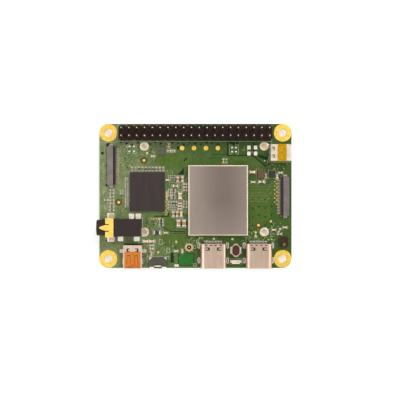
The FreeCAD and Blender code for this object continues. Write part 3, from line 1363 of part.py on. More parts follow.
def resistors():
    """Chip resistors: the lines beside the processor and the loose ones. The line between the
    camera connector and the audio jack has as many as there is room for."""
    pitch = number("feeder_pitch")
    feeders = 1 + int(number("camera_y - feeder_start - jack_y - feeder_clearance") / pitch)
    group("chip_resistors", lay_out([
        ("processor_x", PROCESSOR_BACK, "small", line_of(10, -5.1, 1.05, 1.15, 0.0, 90)),
        (PROCESSOR_LEFT, "processor_y", "tiny", line_of(3, -1.15, 4.4, 0.0, -0.76, 0), LEFT_ROOM + " - 6.3"),
        (PROCESSOR_LEFT, "processor_y", "tiny", line_of(10, -1.15, 2.12, 0.0, -0.76, 0)),
        (PROCESSOR_LEFT, "processor_y", "tiny", line_of(2, -2.9, 0.3, 0.0, -0.9, 0), LEFT_ROOM + " - 4.8"),
        (PROCESSOR_RIGHT, "processor_y", "tiny", line_of(4, 1.2, 5.0, 0.75, 0.0, 90), CHANNEL + " - 3.95"),
        (PROCESSOR_RIGHT, "processor_y", "small", line_of(4, 1.3, -3.9, 0.9, 0.0, 90), CHANNEL + " - 3.4"),
        (PROCESSOR_RIGHT, "processor_y", "tiny", line_of(5, 1.6, 0.8, 0.0, -0.55, 0), CHANNEL + " - 3.35"),
        (PROCESSOR_RIGHT, "processor_y", "tiny", line_of(4, 1.3, -5.5, 0.7, 0.0, 90), CHANNEL + " - 3.4"),
        (PROCESSOR_RIGHT, PROCESSOR_FRONT, "small", line_of(3, -1.15, -2.9, 0.0, -0.9, 0)),
        (JACK_END, "jack_y", "large", [(5.15, -1.7, 0)]),
        (LEFT, "camera_y - feeder_start", "small", line_of(feeders, 4.2, 0.0, 0.0, -pitch, 0)),
        (LEFT, "0", "small", [(2.3, -1.4, 0)]),
        (PROCESSOR_RIGHT, "processor_y", "small", line_of(4, 2.95, 0.6, 0.0, -0.9, 0), CHANNEL + " - 3.35"),
        (SHIELD_LEFT, "processor_y", "small", line_of(3, -1.0, -3.3, 0.0, -0.9, 0)),
        (SHIELD_LEFT, SHIELD_BACK, "small", [(12.7, 1.4, 90)]),
    ]), TOP)


def oscillators():
    """Two oscillator cans: one in the open and one beside the radio chip."""
    can = box("oscillator_can", ("-1.0", "1.0"), ("-1.2", "1.2"), ("0", "0.7"))
    doc.recompute()
    between = "(%s) + oscillator_share * (%s - (%s))" % (PROCESSOR_BACK, HEADER_FRONT, PROCESSOR_BACK)
    solids = moved(can.Shape, number("processor_x + 4.75"), number(between + " - oscillator_shift"), 0)
    solids += moved(can.Shape, number(SHIELD_RIGHT + " - 5.3"),
                    number("shield_y - shield_width / 2 + 6.5"), 90)
    group("crystal_oscillators", solids, TOP)


# ---------------------------------------------------------------- assembly and export


def build():
    """Makes every sub-part."""
    circuit_board()
    header_housing()
    header_pins()
    packaged_chip("processor", "processor_length", "processor_width", "processor_mould",
                  "processor_x", "processor_y")
    packaged_chip("memory", "memory_length", "memory_width", "chip_mould",
                  "processor_x", "processor_y - 1", under=True)
    packaged_chip("storage", "storage_length", "storage_width", "chip_mould",
                  "shield_x - 3.5", "shield_y + 3.5", under=True)
    shield_frame()
    shield_lid()
    shielded_chips()
    usb_connector("usb_data", "usb_data_x")
    usb_connector("usb_power", "usb_power_x")
    hdmi_connector()
    audio_jack()
    cable_connector("camera", LEFT + " + camera_inset", "camera_y", 0)
    cable_connector("display", RIGHT + " - display_inset", "display_y", 180)
    screw_terminal()
    terminals = power_switch() + user_button()
    group("switch_terminals", terminals, TOP)
    soldered_nuts()
    antenna_socket()
    microphone()
    status_lamp()
    small_case("power_inductor", "2.1", "2.7", "1.2", RIGHT + " - inductor_inset", BACK + " - inductor_back")
    small_case("regulator_chip", "1.8", "2.0", "0.75", RIGHT + " - regulator_inset",
               BACK + " - inductor_back")
    oscillators()
    blocks.update({name: chip_block(name) for name in ("large", "medium", "small", "tiny")})
    doc.recompute()
    capacitors()
    resistors()


def check():
    """Stops the build if an object failed or a sub-part has no valid solid."""
    for thing in doc.Objects:
        if "Invalid" in thing.State or "Error" in thing.State:
            raise RuntimeError("%s failed: %s" % (thing.Name, thing.State))
    for label, thing in sub_parts.items():
        if thing.Shape.isNull() or not thing.Shape.isValid() or not thing.Shape.Solids:
            raise RuntimeError(label + " has no valid solid")


def export():
    """Writes one STEP file per sub-part."""
    os.makedirs("parts", exist_ok=True)
    for label, thing in sub_parts.items():
        thing.Shape.exportStep(os.path.join("parts", label + ".step"))


build()
doc.recompute()
check()
export()
print("%d sub-parts, %d solids" % (len(sub_parts), sum(len(t.Shape.Solids) for t in sub_parts.values())))
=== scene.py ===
"""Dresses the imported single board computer: materials, board print, pads, solder, film and light."""
import json
import random
from math import atan, cos, radians, sin

import bmesh
import bpy
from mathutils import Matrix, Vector


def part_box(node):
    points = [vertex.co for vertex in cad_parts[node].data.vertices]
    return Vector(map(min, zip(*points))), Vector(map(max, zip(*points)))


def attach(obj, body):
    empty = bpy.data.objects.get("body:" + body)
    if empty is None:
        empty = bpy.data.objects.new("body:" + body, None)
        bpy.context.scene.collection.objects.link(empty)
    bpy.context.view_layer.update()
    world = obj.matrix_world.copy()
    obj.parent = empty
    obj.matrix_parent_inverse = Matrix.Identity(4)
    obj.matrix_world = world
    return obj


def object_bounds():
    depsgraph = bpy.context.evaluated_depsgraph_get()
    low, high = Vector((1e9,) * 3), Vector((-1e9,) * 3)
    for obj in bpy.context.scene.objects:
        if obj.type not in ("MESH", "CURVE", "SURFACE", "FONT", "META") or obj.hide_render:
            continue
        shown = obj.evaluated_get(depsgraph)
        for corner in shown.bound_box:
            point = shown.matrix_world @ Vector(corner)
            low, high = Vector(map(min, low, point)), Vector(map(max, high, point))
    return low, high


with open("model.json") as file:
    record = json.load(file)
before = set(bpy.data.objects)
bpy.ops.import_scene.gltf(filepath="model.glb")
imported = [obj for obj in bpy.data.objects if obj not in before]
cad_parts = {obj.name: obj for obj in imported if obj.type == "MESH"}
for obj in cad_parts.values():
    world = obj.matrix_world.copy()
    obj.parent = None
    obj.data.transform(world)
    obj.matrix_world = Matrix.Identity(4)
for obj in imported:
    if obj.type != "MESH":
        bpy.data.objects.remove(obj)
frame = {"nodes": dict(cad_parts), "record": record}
cad_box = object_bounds()

MM = 0.001
NODES = frame["nodes"]
chance = random.Random(7)


# ---- places, in millimetres


def low_of(node):
    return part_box(node)[0] / MM


def high_of(node):
    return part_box(node)[1] / MM


def ends_of(node):
    """The low and the high corner of a node's box."""
    return low_of(node), high_of(node)


def middle_of(node):
    return (low_of(node) + high_of(node)) / 2


def plan_of(node, grow=0.0):
    """A node's middle and size in plan, each side longer by a margin."""
    (x, y, _), size = middle_of(node), high_of(node) - low_of(node)
    return x, y, size.x + grow, size.y + grow


def four_round(x, y, half_x, half_y):
    """The corners of a rectangle, from its middle and half sizes."""
    return [(x + i * half_x, y + j * half_y) for i in (-1, 1) for j in (-1, 1)]


def pattern_places(name):
    """Centres of a bolt pattern's holes."""
    place, spacing = MOUNTS[name]["pos_m"], MOUNTS[name]["dims"]
    return four_round(place[0] / MM, place[1] / MM, spacing["spacing_x_mm"] / 2, spacing["spacing_y_mm"] / 2)


LEFT, FRONT, UNDER = low_of("circuit_board")
RIGHT, BACK, TOP = high_of("circuit_board")
SHIELD_LOW, SHIELD_HIGH = ends_of("shield_lid")
SHIELD = middle_of("shield_lid")
CHIP_LOW, CHIP_HIGH = ends_of("processor_laminate")
CHIP = middle_of("processor_laminate")
ANTENNA = middle_of("antenna_socket_base")
HDMI_X = middle_of("hdmi_shell").x
HEADER_Y = middle_of("header_housing").y
HEADER_EDGE = HEADER_Y - 2.6
USB_REAR = high_of("usb_data_shell").y
CAMERA_TAIL = high_of("camera_connector_contacts").x
DISPLAY_TAIL = low_of("display_connector_contacts").x
MOUNTS = {m["name"]: m for m in frame["record"]["mounts"]}
HOLES = pattern_places("mounting_holes")
NUTS = pattern_places("threaded_nuts")

PITCH, COLUMNS = 2.54, 20  # of the pin header
RING_RADIUS, RING_LIFT = 2.95, 0.04  # of the holes' gold rings
SHANK_RADIUS = 1.5  # of the soldered nuts, in the board
FINE, THIN, PRINT = 0.08, 0.1, 0.16  # widths of lines
HEIGHTS = {  # of the flat layers on the board: a higher one covers a lower
    "pour": 0.012, "tented hole": 0.013, "track": 0.014, "sighting ring": 0.015, "gap": 0.016,
    "short track": 0.017, "print": 0.018, "clearing": 0.02, "soldered pad": 0.02, "chip pad": 0.022,
    "tinned pad": 0.025, "land": 0.03,
}


# ---- materials


def tone(*display):
    """A linear colour from the three 0 to 255 values of a display colour."""
    shares = [value / 255 for value in display]
    return (*(s / 12.92 if s <= 0.04045 else ((s + 0.055) / 1.055) ** 2.4 for s in shares), 1.0)


class Graph:
    """A node tree, and what builds on it."""

    def __init__(self, tree):
        self.tree = tree

    def node(self, kind, **settings):
        made = self.tree.nodes.new(kind)
        for key, value in settings.items():
            if hasattr(made, key):
                setattr(made, key, value)
            else:
                made.inputs[key].default_value = value
        return made

    def join(self, source, target):
        """Gives a socket a node's output, or a plain value."""
        if hasattr(source, "links"):
            self.tree.links.new(source, target)
        else:
            target.default_value = source

    def math(self, operation, first, second=0.5):
        made = self.node("ShaderNodeMath", operation=operation)
        self.join(first, made.inputs[0])
        self.join(second, made.inputs[1])
        return made.outputs[0]

    def ranged(self, value, from_low, from_high, to_low, to_high):
        made = self.node("ShaderNodeMapRange")
        for socket, number in zip(made.inputs, (value, from_low, from_high, to_low, to_high)):
            self.join(number, socket)
        return made.outputs[0]

    def seen(self):
        """1 for what the camera or a gloss sees, 0 for the light that falls on the part."""
        rays = self.node("ShaderNodeLightPath").outputs
        others = self.math("MAXIMUM", rays["Is Glossy Ray"], rays["Is Transmission Ray"])
        return self.math("MAXIMUM", rays["Is Camera Ray"], others)


class Look(Graph):
    """A procedural material, built up from a base colour by layers of fine texture."""

    def __init__(self, name, colour, roughness, metallic=0.0, **sockets):
        self.material = bpy.data.materials.new(name)
        self.material.use_nodes = True
        super().__init__(self.material.node_tree)
        self.shader = self.tree.nodes["Principled BSDF"]
        self.place = self.node("ShaderNodeTexCoord").outputs["Object"]
        self.normal = None
        self.coloured(colour)
        self.give("Roughness", roughness)
        self.give("Metallic", metallic)
        for socket, value in sockets.items():
            self.give(socket.replace("_", " "), value)

    def give(self, socket, value):
        self.join(value, self.shader.inputs[socket])

    def cloud(self, size, detail=3.0, stretch=(1, 1, 1), low=0.35, high=0.65):
        """Soft noise from 0 to 1 with features of a size in millimetres."""
        mapping = self.node("ShaderNodeMapping", Scale=[1 / (size * MM * s) for s in stretch])
        self.join(self.place, mapping.inputs["Vector"])
        noise = self.node("ShaderNodeTexNoise", Scale=1.0, Detail=detail)
        self.join(mapping.outputs[0], noise.inputs["Vector"])
        return self.ranged(noise.outputs[0], low, high, 0.0, 1.0)

    def mix(self, factor, first, second):
        """Mixes two colours, each a value or a node's output."""
        made = self.node("ShaderNodeMix", data_type="RGBA")
        for index, value in ((0, factor), (6, first), (7, second)):
            self.join(value, made.inputs[index])
        return made.outputs[2]

    def coloured(self, colour):
        self.give("Base Color", colour)
        self.colour = colour
        return self

    def leaned(self, normal):
        self.give("Normal", normal)
        self.normal = normal
        return self

    def mottled(self, amount, size, **noise):
        """The colour varies softly by a share of itself."""
        shades = [self.cloud(size, **noise)]
        for value in (1 - amount, 1 + amount):
            tinted = self.node("ShaderNodeHueSaturation", Value=value, Saturation=1.0)
            self.join(self.colour, tinted.inputs["Color"])
            shades.append(tinted.outputs[0])
        return self.coloured(self.mix(*shades))

    def dulled(self, low, high, size, **noise):
        """The roughness varies between two values."""
        self.give("Roughness", self.ranged(self.cloud(size, **noise), 0, 1, low, high))
        return self

    def bevel(self, radius):
        return self.node("ShaderNodeBevel", samples=4, Radius=radius * MM).outputs[0]

    def softened(self, radius):
        """Sharp edges catch light as if rounded by a radius in millimetres."""
        return self.leaned(self.bevel(radius))

    def grained(self, strength, size, depth, **noise):
        """A fine bump with features of a size, and a depth in millimetres."""
        bump = self.node("ShaderNodeBump", Strength=strength, Distance=depth * MM)
        self.join(self.cloud(size, low=0.2, high=0.8, **noise), bump.inputs["Height"])
        if self.normal:
            self.join(self.normal, bump.inputs["Normal"])
        return self.leaned(bump.outputs[0])

    def painted_light(self, colour, radius, amount):
        """Edges are painted a lighter colour: a painted highlight along them."""
        dot = self.node("ShaderNodeVectorMath", operation="DOT_PRODUCT")
        self.join(self.bevel(radius), dot.inputs[0])
        self.join(self.node("ShaderNodeNewGeometry").outputs["Normal"], dot.inputs[1])
        edge = self.ranged(dot.outputs["Value"], 1.0, 0.85, 0.0, amount)
        return self.coloured(self.mix(edge, self.colour, colour))

    def axis(self, index, vector=None):
        """One object coordinate in metres, or one of another vector."""
        split = self.node("ShaderNodeSeparateXYZ")
        self.join(vector or self.place, split.inputs[0])
        return split.outputs[index]

    def ramp(self, index, start, stop, first=0.0, last=1.0):
        """A value that changes along an axis, between two places in millimetres."""
        return self.ranged(self.axis(index), start * MM, stop * MM, first, last)

    def rise(self):
        """How far the surface faces up, from -1 to 1."""
        return self.axis(2, self.node("ShaderNodeNewGeometry").outputs["Normal"])


def moulded(name, colour, edge, roughness=0.5, grain=0.25, gloss=0.3):
    """Fine moulded plastic whose edges are painted slightly paler: a painted highlight."""
    look = Look(name, tone(*colour), roughness, Specular_IOR_Level=gloss)
    look.softened(0.07).grained(grain, 0.12, 0.015)
    # the edge colour mixed in along the edges is a painted highlight
    look.mottled(0.14, 1.4).painted_light(tone(*edge), 0.09, 0.55).dulled(roughness - 0.1, roughness + 0.1, 0.6)
    return look.material


def plated(name, colour, roughness, edge=None, grain=0.12, size=0.3):
    """Plated metal with a little mottling, and edges painted brighter if asked for: a painted highlight."""
    look = Look(name, tone(*colour), roughness, 1.0)
    look.softened(0.05).grained(grain, size, 0.01).mottled(0.08, 1.1)
    if edge:
        # a painted highlight: the edges are painted in the brighter edge colour
        look.painted_light(tone(*edge), 0.08, 0.6)
    return look.dulled(roughness - 0.08, roughness + 0.1, 0.5).material


def masked(name, colour, roughness=0.34, gloss=0.3):
    """Flat print or solder mask of one colour."""
    return moulded(name, colour, colour, roughness, 0.1, gloss)


def board_look():
    """Solder mask on a glass laminate: paler and busier towards the left, with fine copper under it."""
    look = Look("board_solder_mask", tone(70, 96, 38), 0.36, Specular_IOR_Level=0.22)
    across = look.ramp(0, LEFT, 0.0)
    beyond = look.ramp(0, 4, 18)
    green = look.mix(across, tone(117, 128, 82), look.mix(beyond, tone(62, 87, 24), tone(53, 77, 12)))
    deep = look.mix(across, tone(70, 90, 50), tone(44, 72, 15))
    patches = look.cloud(2.6, detail=4.0, low=0.38, high=0.62)
    green = look.mix(look.math("MULTIPLY", patches, 0.55), green, deep)
    busy = look.math("MULTIPLY", look.cloud(0.32, detail=3.0, low=0.52, high=0.66),
                     look.ramp(0, LEFT, 0.3 * RIGHT, 0.46, 0.07))
    look.coloured(look.mix(busy, green, tone(170, 176, 144))).mottled(0.08, 0.9, detail=5.0)
    weave = look.node("ShaderNodeTexChecker", Scale=1 / (0.35 * MM))
    look.join(look.place, weave.inputs["Vector"])
    bump = look.node("ShaderNodeBump", Strength=0.15, Distance=0.01 * MM)
    look.join(look.math("ADD", look.math("MULTIPLY", weave.outputs[1], 0.2), look.cloud(0.7, detail=5.0)),
              bump.inputs["Height"])
    look.leaned(bump.outputs[0])
    layers = look.node("ShaderNodeTexWave", bands_direction="Z", Scale=1 / (1.3 * MM))
    look.join(look.place, layers.inputs["Vector"])
    edge = look.mix(layers.outputs[1], tone(104, 112, 58), tone(146, 144, 92))
    upright = look.math("LESS_THAN", look.math("ABSOLUTE", look.rise()), 0.5)
    look.coloured(look.mix(upright, look.colour, edge))
    return look.dulled(0.3, 0.44, 1.2).material


def shield_look():
    """Rolled sheet with a painted reflection, paler towards its left and front edges, and a rim painted pale
    as a painted highlight.
    """
    look = Look("shield_rolled_sheet", tone(122, 109, 100), 0.42, 1.0)
    look.softened(0.06).grained(0.08, 0.1, 0.006, stretch=(3, 1, 1))
    half = (SHIELD_HIGH - SHIELD_LOW) / 2
    inset = []
    for index in (0, 1):
        centred = look.math("SUBTRACT", look.axis(index), SHIELD[index] * MM)
        inset.append(look.math("SUBTRACT", half[index] * MM, look.math("ABSOLUTE", centred)))
    # painted highlight: the rounded rim, the last half millimetre inside the lid's outline, is painted pale
    rim = look.ranged(look.math("MINIMUM", *inset), 0.32 * MM, 0.5 * MM, 1.0, 0.0)
    # painted reflection of the softbox: paler towards the left, front and right edges, darker in the middle
    left = look.ramp(0, SHIELD_LOW.x, SHIELD.x)
    right = look.ramp(0, SHIELD.x + 4, SHIELD_HIGH.x, 1.0, 0.5)
    front = look.ramp(1, SHIELD_LOW.y, SHIELD.y, 0.42)
    middle = look.math("MULTIPLY", look.math("MULTIPLY", left, right), front)
    look.coloured(look.mix(middle, tone(142, 129, 120), tone(111, 99, 91)))
    look.mottled(0.03, 3.5, stretch=(1, 3, 1)).mottled(0.03, 0.2, detail=5.0)
    # mixes in the painted rim highlight
    look.coloured(look.mix(rim, look.colour, tone(204, 194, 168)))
    return look.dulled(0.4, 0.44, 0.7).material


def receptacle_look(name, colour):
    """Bright plated shell, drawn lengthwise, with patches of duller finish and edges painted pale: a painted
    highlight.
    """
    look = Look(name, tone(*colour), 0.34, 1.0)
    look.softened(0.06).grained(0.05, 0.3, 0.006, stretch=(1, 6, 1))
    # the pale edge colour is a painted highlight
    look.mottled(0.05, 1.3, stretch=(1, 4, 1)).painted_light(tone(236, 218, 198), 0.08, 0.6)
    return look.dulled(0.3, 0.4, 1.4, stretch=(1, 4, 1)).material


def film_look(name, colour, tint):
    """Thin tinted film: light that passes through it takes its tint, and it keeps a soft gloss."""
    look = Look(name, tone(*colour), 0.25, Specular_IOR_Level=0.5)
    look.grained(0.3, 1.3, 0.03).mottled(0.12, 1.0)
    clear = look.node("ShaderNodeBsdfTransparent", Color=tint)
    blend = look.node("ShaderNodeMixShader", Fac=0.18)
    look.join(clear.outputs[0], blend.inputs[1])
    look.join(look.shader.outputs[0], blend.inputs[2])
    look.join(blend.outputs[0], look.tree.nodes["Material Output"].inputs["Surface"])
    return look.material


def processor_look():
    """Dark moulding compound with the faint upright lines of its mould."""
    look = Look("processor_compound", tone(46, 35, 32), 0.48, Specular_IOR_Level=0.3)
    look.softened(0.06).grained(0.4, 0.1, 0.012)
    lines = look.cloud(0.9, detail=1.0, stretch=(1, 12, 12), low=0.4, high=0.6)
    look.coloured(look.mix(lines, tone(39, 28, 26), tone(44, 32, 30)))
    look.mottled(0.08, 0.3, detail=5.0)
    return look.dulled(0.38, 0.52, 0.4).material


def ceramic_look():
    """Fired ceramic, painted paler on top than at its brown sides: a painted highlight on top and painted
    shade on the sides; its tone differs from part to part.
    """
    look = Look("capacitor_ceramic", tone(170, 128, 88), 0.4, Specular_IOR_Level=0.4)
    look.softened(0.04)
    # painted highlight and shade: faces turned up take the pale body colour, the sides a painted brown shade
    top = look.math("GREATER_THAN", look.rise(), 0.7)
    body = look.mix(look.cloud(3.1, detail=0.0, low=0.42, high=0.58), tone(158, 118, 76), tone(212, 182, 134))
    look.coloured(look.mix(top, tone(112, 66, 32), body))
    return look.mottled(0.1, 0.2).grained(0.2, 0.06, 0.008).dulled(0.32, 0.48, 0.3).material


def resistor_look(name, share):
    """Dark or tan glaze, by part, on top of a pale ceramic chip."""
    look = Look(name, tone(40, 36, 36), 0.3, Specular_IOR_Level=0.4)
    look.softened(0.03)
    top = look.math("GREATER_THAN", look.rise(), 0.5)
    kind = look.cloud(2.3, detail=0.0, low=share, high=share + 0.1)
    glaze = look.mix(kind, tone(50, 44, 40), tone(138, 120, 92))
    look.coloured(look.mix(top, tone(190, 184, 168), glaze))
    return look.mottled(0.1, 0.2).grained(0.15, 0.06, 0.006).dulled(0.25, 0.4, 0.3).material


def pin_look():
    """Gold plated pins: the taper is painted darker as painted shade, and the flat top of the sheared tip is
    painted pale as a painted highlight.
    """
    look = Look("header_pin_plate", tone(184, 142, 70), 0.3, 1.0)
    look.softened(0.05).mottled(0.08, 0.7)
    tip = high_of("header_pins").z
    # painted shade over the last 0.2 to 0.3 mm of the pin, where it tapers, and a painted highlight on its
    # flat top
    taper = look.ramp(2, tip - 0.3, tip - 0.2)
    flat = look.math("GREATER_THAN", look.rise(), 0.9)
    painted_light = look.mix(taper, look.colour, tone(84, 62, 44))
    look.coloured(look.mix(look.math("MULTIPLY", flat, taper), painted_light, tone(240, 222, 204)))
    return look.dulled(0.24, 0.4, 0.4).material


def two_plate_look(name, index, limit, first, second):
    """Plated strip whose finish changes at a level of one coordinate, in millimetres."""
    first, second = tone(*first), tone(*second)
    look = Look(name, first, 0.32, 1.0)
    look.softened(0.05)
    past = look.ramp(index, limit - 0.03, limit + 0.03)
    look.coloured(look.mix(past, first, second)).mottled(0.08, 0.8)
    return look.grained(0.1, 0.25, 0.008).dulled(0.26, 0.42, 0.5).material


MOULDED = {
    # colour, colour of its painted edge highlight, then roughness and grain where unusual
    "black_moulding": ((29, 14, 8), (62, 48, 43)),
    "grey_moulding": ((114, 106, 102), (150, 140, 134)),
    "white_moulding": ((204, 191, 170), (228, 217, 198), 0.45),
    "cream_moulding": ((196, 174, 128), (222, 204, 164), 0.45),
    "maroon_moulding": ((60, 26, 14), (104, 62, 52), 0.42),
    "chip_laminate": ((66, 78, 46), (96, 106, 70), 0.5),
    "lamp_lens": ((250, 244, 232), (255, 252, 244), 0.3, 0.05),
    "inductor_ferrite": ((84, 64, 38), (126, 100, 76), 0.55, 0.5),
}
LOOKS = {
    **{name: moulded(name, *given) for name, given in MOULDED.items()},
    "board_laminate": board_look(),
    # the second colour given to plated() is a painted edge highlight
    "gold_plating": plated("gold_plate", (222, 184, 84), 0.34, (240, 210, 124), 0.02, 0.6),
    "chip_mould": processor_look(),
    "shield_metal": shield_look(),
    "connector_steel": receptacle_look("receptacle_plate", (182, 159, 141)),
    "switch_cover_metal": plated("switch_cover_plate", (78, 73, 66), 0.44, (150, 144, 136), 0.08),
    "tinned_metal": plated("tin_plate", (214, 205, 196), 0.36, (240, 234, 228)),
    "clamp_metal": plated("clamp_plate", (206, 192, 168), 0.35, (236, 226, 206)),
    "microphone_metal": plated("microphone_plate", (56, 46, 35), 0.44, (104, 88, 70), 0.1),
    "oscillator_can": plated("oscillator_plate", (90, 84, 80), 0.4, (150, 144, 136), 0.08),
    "orange_film": film_look("orange_film", (255, 140, 10), (1.0, 0.81, 0.56, 1)),
    "yellow_film": film_look("yellow_film", (226, 150, 0), (0.93, 0.86, 0.34, 1)),
    "capacitor_ceramic": ceramic_look(),
    "resistor_body": resistor_look("resistor_glaze", 0.4),
}
GOLD, TIN = (214, 168, 78), (176, 160, 144)
contact_strips = two_plate_look("receptacle_contact_plate", 1, USB_REAR - 0.9, GOLD, TIN)
cable_tails = plated("cable_tail_plate", (168, 151, 136), 0.46, None, 0.1)
BY_NODE = {
    "header_pins": pin_look(),
    # the second colour given to moulded() is a painted edge highlight
    "header_housing": moulded("header_moulding", (25, 10, 6), (54, 38, 33), gloss=0.18),
    "hdmi_shell": receptacle_look("hdmi_plate", (194, 174, 157)),
    "antenna_socket_contacts": plated("antenna_socket_plate", (196, 172, 126), 0.36),
    "usb_data_contacts": contact_strips,
    "usb_power_contacts": contact_strips,
    "camera_connector_contacts": cable_tails,
    "display_connector_contacts": cable_tails,
    "display_connector_housing": moulded("display_moulding", (103, 95, 91), (138, 129, 123)),
    "audio_jack_collar": two_plate_look("collar_plate", 2, TOP + 0.45, TIN, (226, 192, 96)),
}
for part in frame["record"]["subparts"]:
    mesh = NODES[part["node"]].data
    mesh.materials.clear()
    mesh.materials.append(BY_NODE.get(part["node"]) or LOOKS[part["material_slot"]])

LOOKS.update({
    "print": masked("board_print", (172, 172, 148), 0.6),
    "dark_mask": masked("mask_over_laminate", (17, 43, 15), 0.38, 0.13),
    "ring_mask": masked("mask_round_marks", (74, 60, 16), 0.4),
    "bright_mask": masked("mask_over_antenna", (26, 95, 20)),
    "pour_mask": masked("mask_over_copper", (68, 91, 22)),
    "right_pour_mask": masked("mask_over_right_copper", (60, 83, 13)),
    "track_mask": masked("mask_over_track", (112, 124, 72)),
    "pale_mask": masked("mask_over_short_track", (166, 170, 132), 0.36),
    "solder": plated("solder_fillet", (196, 186, 172), 0.3, None, 0.15, 0.2),
    "bright_solder": plated("wetted_solder", (202, 189, 169), 0.38),
    "aged_gold": plated("test_point_plate", (176, 178, 120), 0.4),
    "pink_tin": plated("worn_tin", (178, 158, 138), 0.45, None, 0.3, 0.25),
    "cable_tails": cable_tails,
})


# ---- mesh tools


def placed(name, data):
    """Makes an object of a mesh, a lamp or a camera."""
    made = bpy.data.objects.new(name, data)
    bpy.context.scene.collection.objects.link(made)
    return made


def offsets_from(x, y, across):
    """A function from an offset along and over a direction in plan to its place."""
    ux, uy = across
    return lambda along, over: (x + along * ux - over * uy, y + along * uy + over * ux)


def arc(x, y, radius, start, stop, steps):
    """Points on an arc, between two angles in degrees."""
    return [(x + radius * cos(radians(start + (stop - start) * i / steps)),
             y + radius * sin(radians(start + (stop - start) * i / steps)))
            for i in range(steps + 1)]


def rounded(x, y, length, width, radius, steps=3):
    """A rounded rectangle's ring of points."""
    ring = []
    for sx, sy, start in ((1, 1, 0), (-1, 1, 90), (-1, -1, 180), (1, -1, 270)):
        middle = (x + sx * (length / 2 - radius), y + sy * (width / 2 - radius))
        ring += arc(*middle, radius, start, start + 90, steps)
    return ring


def band(start, count):
    """Faces between a ring of points and the next one."""
    return [(start + i, start + (i + 1) % count, start + count + (i + 1) % count, start + count + i)
            for i in range(count)]


class Mesh:
    """Vertices and faces in millimetres, gathered into one piece."""

    def __init__(self):
        self.points = []
        self.faces = []
        self.indices = []

    def add(self, points, faces, index=0):
        start = len(self.points)
        self.points += [tuple(p) for p in points]
        self.faces += [tuple(start + i for i in face) for face in faces]
        self.indices += [index] * len(faces)

    def plate(self, ring, low, high, index=0):
        """A closed plate from a ring of (x, y) points."""
        count = len(ring)
        points = [(x, y, low) for x, y in ring] + [(x, y, high) for x, y in ring]
        ends = [tuple(range(count - 1, -1, -1)), tuple(range(count, 2 * count))]
        self.add(points, band(0, count) + ends, index)

    def turned(self, profile, x, y, sides, level=0.0, index=0, ends=False):
        """A profile of (radius, height above a level) points turned about an upright line."""
        points = [(px, py, level + height) for radius, height in profile
                  for px, py in arc(x, y, radius, 0, 360, sides)[:sides]]
        last = len(points) - sides
        faces = [face for start in range(0, last, sides) for face in band(start, sides)]
        if ends:
            faces += [tuple(range(sides - 1, -1, -1)), tuple(range(last, last + sides))]
        self.add(points, faces, index)

    def block(self, centre, half, chamfer, across=(1, 0)):
        """A block with chamfered top edges, turned to a direction in plan."""
        at = offsets_from(centre[0], centre[1], across)
        hx, hy, hz = half
        points = []
        for level, inset in ((-hz, 0.0), (hz - chamfer, 0.0), (hz, chamfer)):
            for sx, sy in ((-1, -1), (1, -1), (1, 1), (-1, 1)):
                points.append((*at(sx * (hx - inset), sy * (hy - inset)), centre[2] + level))
        self.add(points, [(3, 2, 1, 0), (8, 9, 10, 11)] + band(0, 4) + band(4, 4))

    def piece(self, name, slot, *finishes, body="board", smooth=False):
        """Makes the object, in the looks named or else its slot's, and lets it ride on a body."""
        data = bpy.data.meshes.new(name)
        data.from_pydata([[c * MM for c in p] for p in self.points], [], self.faces)
        for finish in finishes or [slot]:
            data.materials.append(LOOKS[finish])
        data.polygons.foreach_set("material_index", self.indices)
        shaped = bmesh.new()
        shaped.from_mesh(data)
        bmesh.ops.recalc_face_normals(shaped, faces=shaped.faces)
        shaped.to_mesh(data)
        shaped.free()
        data.polygons.foreach_set("use_smooth", [smooth] * len(data.polygons))
        data.update()
        made = placed(name, data)
        if smooth:
            made.modifiers.new("crease", "EDGE_SPLIT").split_angle = radians(35)
        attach(made, body)


class Deck(Mesh):
    """Flat shapes that lie on the board's top, or under it."""

    def __init__(self, layer, level=0.0, under=False):
        super().__init__()
        self.base = UNDER - level if under else TOP + level
        self.lift = -HEIGHTS[layer] if under else HEIGHTS[layer]

    def flat(self, ring, index=0):
        lift = self.lift * (1 + 0.04 * (len(self.faces) % 11))
        low, high = sorted((self.base, self.base + lift))
        self.plate(ring, low, high, index)

    def area(self, x, y, far_x, far_y):
        self.flat([(x, y), (far_x, y), (far_x, far_y), (x, far_y)])

    def pad(self, x, y, length, width, radius=0.06, across=(1, 0)):
        at = offsets_from(x, y, across)
        ring = rounded(0, 0, length, width, min(radius, length / 2.01, width / 2.01), 2)
        self.flat([at(*point) for point in ring])

    def dot(self, x, y, radius, sides=20):
        self.flat(arc(x, y, radius, 0, 360 - 360 / sides, sides - 1))

    def ring(self, x, y, inner, outer, sides):
        profile = [(inner, 0), (inner, self.lift), (outer, self.lift), (outer, 0)]
        self.turned(profile, x, y, sides, self.base)

    def line(self, points, width=THIN, closed=False):
        """A line of even width along a run of points, mitred at its corners."""
        points = [Vector(p) for p in points]
        count = len(points)
        sides = ([], [])
        for i, point in enumerate(points):
            back = (point - points[i - 1]).normalized() if closed or i else None
            ahead = (points[(i + 1) % count] - point).normalized() if closed or i + 1 < count else None
            along = (back + ahead).normalized() if back and ahead else (back or ahead)
            normal = Vector((-along.y, along.x))
            stretch = 1 / max(0.4, along.dot(back or ahead))
            for side, sign in zip(sides, (1, -1)):
                side.append(point + normal * sign * width / 2 * stretch)
        for i in range(count if closed else count - 1):
            j = (i + 1) % count
            self.flat([sides[1][i], sides[1][j], sides[0][j], sides[0][i]])

    def frame(self, x, y, length, width, line, across=(1, 0), gap=0.0):
        """A rectangular outline, with its long sides open in the middle if there is a gap."""
        at = offsets_from(x, y, across)
        a, b = length / 2, width / 2
        if gap:
            for s in (-1, 1):
                self.line([at(s * gap / 2, -b), at(s * a, -b), at(s * a, b), at(s * gap / 2, b)], line)
        else:
            self.line([at(-a, -b), at(a, -b), at(a, b), at(-a, b)], line, closed=True)


